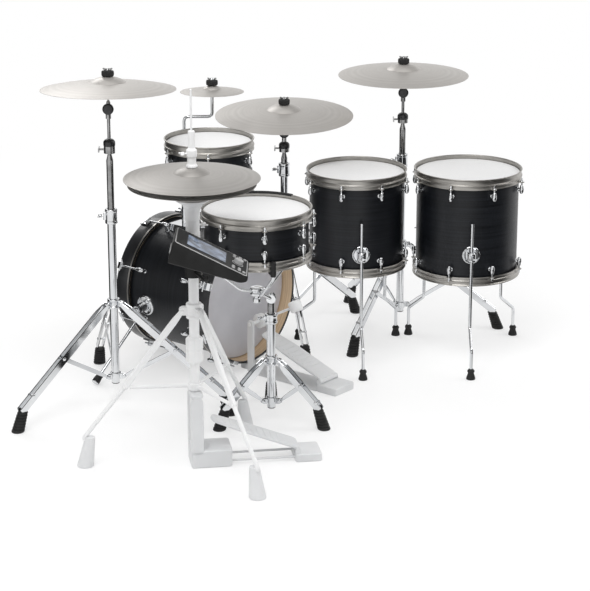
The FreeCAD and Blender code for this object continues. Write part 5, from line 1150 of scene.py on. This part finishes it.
side_plate = rounded([(-18, 40), (18, 40), (18, 200), (12, 214), (-12, 214), (-18, 200)], 8)
for low in (41.5, -50.5):
    stand.slab(HIHAT_FRONT @ SIDEWAYS, side_plate, low, low + 9.0, 2.0, PALE)
stand.block(HIHAT_FRONT, 36.0, 100.0, 212.0, 221.0, 7.0, 1.8, PALE)
stand.block(HIHAT_FRONT @ place(41), 118.0, 101.0, 0, 52.0, 8.0, 3.0, PALE)
for y in (-30, 30):
    stand.tube([HIHAT_FRONT @ Vector((98, y, 12)), HIHAT_FRONT @ Vector((285, y, 12))], 3.5, 0.0, PALE)
heel_plate(stand, HIHAT_FRONT, HIHAT_HEEL)
stand.made("hihat_stand", "kit", "white_metal", [LACQUER, PAINTED_LIGHT_WHITE, FELT], ["hihat_stand_frame"])

# %% Bass drum pedal frame
PEDAL = place(55.4, 91.7, 0, -90)
PEDAL_HEEL = 307.0
AXLE_HEIGHT = 168.0
pedal = Piece()
pedal.block(PEDAL @ place(127.5), 281.0, 97.0, 0, 6.0, 6.0, 1.2)
upright = rounded([(-13, 4), (13, 4), (13, AXLE_HEIGHT), (9, 180), (-9, 180), (-13, AXLE_HEIGHT)], 6)
for low in (43.5, -52.5):
    pedal.slab(PEDAL @ SIDEWAYS, upright, low, low + 9.0, 2.0)
    pedal.lathe(PEDAL @ place(z=AXLE_HEIGHT) @ SIDEWAYS, [
        (6.2, low - 1), (11, low - 1), (11, low + 10), (6.2, low + 10)], 0, 28)
pedal.block(PEDAL @ place(-38.6), 51.0, 51.0, 0, 20.0, 6.0, 1.6)
heel_plate(pedal, PEDAL, PEDAL_HEEL)
pedal.made("kick_pedal_stand", "kit", "white_metal", [LACQUER], ["kick_pedal_frame"])

# %% Bass drum beater
CAM = [(0, 0), (22, 0), (24, 3), (21.5, 6), (21.5, 16), (24, 19), (22, 22), (0, 22)]
BEATER_BACK = 62.0
# The beater takes the lighter copy of the pale lacquer: painted light.
beater = Piece()
axle = PEDAL @ place(z=AXLE_HEIGHT)
beater.rod(axle @ place(0, 57, tilt=90, about="X"), 6.0, 0, 114, 0, 24, 1.0)
beater.turned(axle @ place(0, 11, tilt=90, about="X"), CAM, 1.0, 0, 40)
swing = axle @ place(tilt=BEATER_BACK)
beater.rod(swing, 4.0, 4, 172, 0, 18, 1.0)
beater.lathe(swing @ place(z=40), [(0, -9), (9, -9), (10, -7), (10, 7), (9, 9), (0, 9)], 0, 24)
beater.turned(swing @ place(-18, 0, 165, tilt=90), [(0, 0), (17, 0), (21, 5), (21, 31), (17, 36), (0, 36)],
              3.0, 0, 40)
beater.made("kick_felt_beater", "kick_beater", "white_metal", [PAINTED_LIGHT_WHITE], ["kick_pedal_beater"])


# %% Footboards
def footboard(piece, at, length):
    """A board whose heel pin is on the origin and whose toe is at -X."""
    half, toe_half, taper = 41.0, 28.5, 105.0
    outline = rounded([(-length, -toe_half), (-length - 7, 0), (-length, toe_half), (taper - length, half),
                       (0, half), (0, -half), (taper - length, -half)], 12.0)
    piece.slab(at, outline, 4.0, 11.0, 1.8)
    for step in range(9):
        x = 34.0 + 21.0 * step - length
        reach = toe_half + (half - toe_half) * min(1.0, (x + length) / taper)
        piece.block(at @ place(x), 8.0, 2 * reach - 20.0, 10.6, 12.6, 3.0, 0.9)
    piece.rod(at @ place(0, half, tilt=90, about="X"), 8.0, 0, 2 * half, 0, 24, 1.2)


BOARD_HEIGHT = 32.3
# The pedal's frame, its heel, the board's rise and length, and the solid that it stands for
BOARDS = {"kick": (PEDAL, PEDAL_HEEL, 20.0, 268.0, "kick_pedal_footboard"),
          "hihat": (HIHAT_FRONT, HIHAT_HEEL, 21.0, 262.0, "hihat_footboard")}
for name, (front, heel, rise, length, replaced) in BOARDS.items():
    board = Piece()
    footboard(board, front @ place(heel - HEEL_PIN_BACK, 0, BOARD_HEIGHT, tilt=rise), length)
    board.made(name + "_ribbed_board", name + "_board", "white_metal", [LACQUER], [replaced])

# %% [markdown]
# ## Tilters and cymbal seats
# A cymbal sits between two felts on a thin rod. The rod stands on a toothed disc that turns against the
# disc on the post, so the angle can be set. A black felt and a wing nut close the stack, and dark round
# caps cover the joints of the post. The splash has no post: its seat stands on a bent arm. A seat could
# be one turned stack, but the teeth and wings need outlines with thickness.


# %% A cymbal seat
STEEL, SOFT, SLEEVE = 0, 1, 2


def seat(piece, at, rise):
    """Cup, felts and wing nut round a cymbal hole whose cymbal has its edge on z = 0."""
    under, over = rise - 3.0, rise + 1.2
    piece.lathe(at, [(2.9, under - 14), (9, under - 14), (14, under - 9.5), (14, under - 8),
                     (2.9, under - 8)], STEEL)
    piece.turned(at, [(2.9, under - 8), (12, under - 8), (12.4, under - 4), (12, under), (2.9, under)],
                 1.6, SOFT)
    piece.lathe(at, [(2.9, under), (4.2, under), (4.2, over), (2.9, over)], SLEEVE, 20)
    piece.turned(at, [(2.9, over), (17.6, over), (18.8, over + 4), (18.8, over + 12), (17.6, over + 16),
                      (2.9, over + 16)], 2.0, SOFT)
    piece.turned(at, [(2.9, over + 16), (8, over + 16), (8, over + 19), (6, over + 23), (2.9, over + 23)],
                 1.0, STEEL, 24)
    wing = rounded([(-15, 5), (-14, 9), (-6, 7), (0, 5), (6, 7), (14, 9), (15, 5), (7, 0), (-7, 0)], 2.0)
    piece.slab(at @ place(z=over + 16) @ SIDEWAYS, wing, -2.0, 2.0, 0.8, STEEL)


# %% Tilters
# Height of the tilter's pin and the cymbal's lean
TILTERS = {"left": (931.0, 3.7), "middle": (701.0, -3.1), "ride": (825.0, 0.0)}

for name, (pin_height, lean) in TILTERS.items():
    facing = place(*STANDS[name], pin_height, VIEW_TURN, -lean, "X")
    disc = facing @ place(0, 6.2, tilt=90, about="X")
    stack = Piece()
    stack.slab(disc, RATCHET, 0, 6, 0.8)
    stack.lathe(disc @ place(tilt=180), [(0, -1), (9.5, -1), (9.5, 2), (7, 4.4), (0, 5)], SLEEVE, 28)
    upright = facing @ place(0, 3.15)
    stack.lathe(upright, [(0, 8), (6.4, 8), (6.4, 17), (4.2, 23), (0, 23)], 0, 24)
    stack.rod(upright, 2.8, 4, 116)
    seat(stack, upright @ place(z=57), 38.0)
    stack.made(name + "_cymbal_seat", name + "_tilter", "chrome", [DARK_CHROME, FELT, BLACK_PLASTIC],
               [name + "_stand_tilter"])

# %% Dark caps on the posts
KNOB_CAP = [(0, -1), (15, -1), (17, 2), (17, 7), (13, 11), (0, 12)]
POST_CAP = [(3, -14), (11, -14), (18, -7), (18, 7), (11, 14), (3, 14)]
CAP_HEIGHTS = {"left": 824.0, "middle": 655.0, "ride": 741.0}

for name, cap_height in CAP_HEIGHTS.items():
    caps = Piece()
    knob = place(*STANDS[name], TILTERS[name][0], VIEW_TURN) @ place(0, -6.3, tilt=90, about="X")
    caps.turned(knob, KNOB_CAP, 1.5, 0, 32)
    caps.turned(place(*STANDS[name], cap_height), POST_CAP, 4.0)
    caps.made(name + "_post_caps", name + "_post", "black_plastic", [HOOP_BLACK])

# %% Splash arm
ARM_FOOT, ARM_ACROSS = Vector((15.4, 371.7, 0)), Vector((58.0, -69.0, 0))
ARM_COLLAR = [(4.6, 744.4), (11, 744.4), (12, 746), (12, 762), (10.5, 764), (4.6, 764)]
arm = Piece()
arm_end = ARM_FOOT + ARM_ACROSS
arm.tube([ARM_FOOT + Vector((0, 0, 725)), ARM_FOOT + Vector((0, 0, 806)), arm_end + Vector((0, 0, 806)),
          arm_end + Vector((0, 0, 884))], 5.0, 16.0, 0, 18)
arm.turned(place(ARM_FOOT.x, ARM_FOOT.y), ARM_COLLAR, 1.0, 0, 28)
perch = place(arm_end.x, arm_end.y, 887.0, VIEW_TURN, -2.6, "X")
arm.rod(perch, 2.8, -5, 44)
seat(arm, perch, 20.0)
arm.made("splash_holder", "splash_arm", "chrome", [CHROME, FELT, BLACK_PLASTIC], ["splash_arm"])

# %% [markdown]
# ## The sound module
# It is a wedge with a screen, one knob and a few buttons, in plain black with a silver edge. Nothing on
# it is lettered. The panel could be painted on by a shader, but thin raised blocks give true edges to
# the screen, the silver line and the buttons. The screen glows dimly, and its soft blocks of light are
# painted reflections on its glass.

# %% Module case
MODULE_TILT = 16.0
MODULE_WEDGE = [(-111, 0), (95, 0), (111, 8), (111, 22.5), (-111, 65.5)]
MODULE_EAR = [(-13, 14), (-11, -6), (-5, -11), (5, -11), (11, -6), (13, 14)]
KNOB_AHEAD = 78.0
BLACK, EDGE, DARK, LIGHT = 0, 1, 2, 3
case = place(-725.99, -371.39, 610.0, VIEW_TURN) @ place(tilt=MODULE_TILT)
# The panel lies on the wedge's sloping side
face = case @ place(z=55.3, tilt=math.degrees(math.atan2(21.5, 111)))
box = Piece()
box.slab(case @ place(z=11.3) @ SIDEWAYS, rounded(MODULE_WEDGE, 6), -74.5, 74.5, 3.0)
print("the case has", len(box.faces), "faces")

# %% Module panel
BUTTON = [(0, 0.5), (5, 0.5), (5, 3.2), (4.2, 4), (0, 4)]
BUTTON_ROWS = {-58: (66, 84, 98), -44: (66, 84), 44: (66, 84), 58: (66, 84, 98)}
box.block(face, 218, 145, -2.0, 0.8, 8, 0.8, EDGE)
box.block(face, 212, 139, 0, 1.2, 7, 0.4, DARK)
box.block(face @ place(-16), 124, 100, 0.8, 1.7, 4, 0.4, BLACK)
# The screen, lit dimly, with painted reflections in its blocks of light.
box.block(face @ place(-16), 116, 92, 1.2, 2.0, 2, 0.3, LIGHT)
for y, row in BUTTON_ROWS.items():
    for x in row:
        box.lathe(face @ place(x, y), BUTTON, EDGE, 20)
box.lathe(face @ place(KNOB_AHEAD), [(14, 0.8), (17, 0.8), (17, 1.6), (14, 1.6)], EDGE, 40)
print("case and panel have", len(box.faces), "faces")

# %% Module jacks and ears
JACK_STEP = 19.5
for number in range(4):
    jack = case @ place(-110, (number - 1.5) * JACK_STEP, 33.3, tilt=-90)
    box.lathe(jack, [(3.3, 0), (6.4, 0), (6.4, 2.6), (5.6, 3.4), (3.3, 3.4)], EDGE, 20)
for offset in (-16.3, 16.3):
    box.slab(case @ place(0, offset) @ SIDEWAYS, rounded(MODULE_EAR, 5), -3, 3, 1.0)
box.rod(case @ place(0, 23, tilt=90, about="X"), 3.0, 0, 46, EDGE)
box.made("module_case", "module", "black_plastic", [BLACK_PLASTIC, SILVER, PANEL, SCREEN],
         ["module_housing"])

# %% Module knob
dial = Piece()
dial.slab(face @ place(KNOB_AHEAD), toothed(60, 13.0, 12.4), 1.8, 14.3, 1.2)
dial.lathe(face @ place(KNOB_AHEAD), [(0, 13.6), (10.6, 13.6), (10.6, 14.2), (9.4, 14.9), (0, 14.6)])
dial.made("module_dial", "module_knob", "grey_plastic", [SILVER], ["module_knob"])
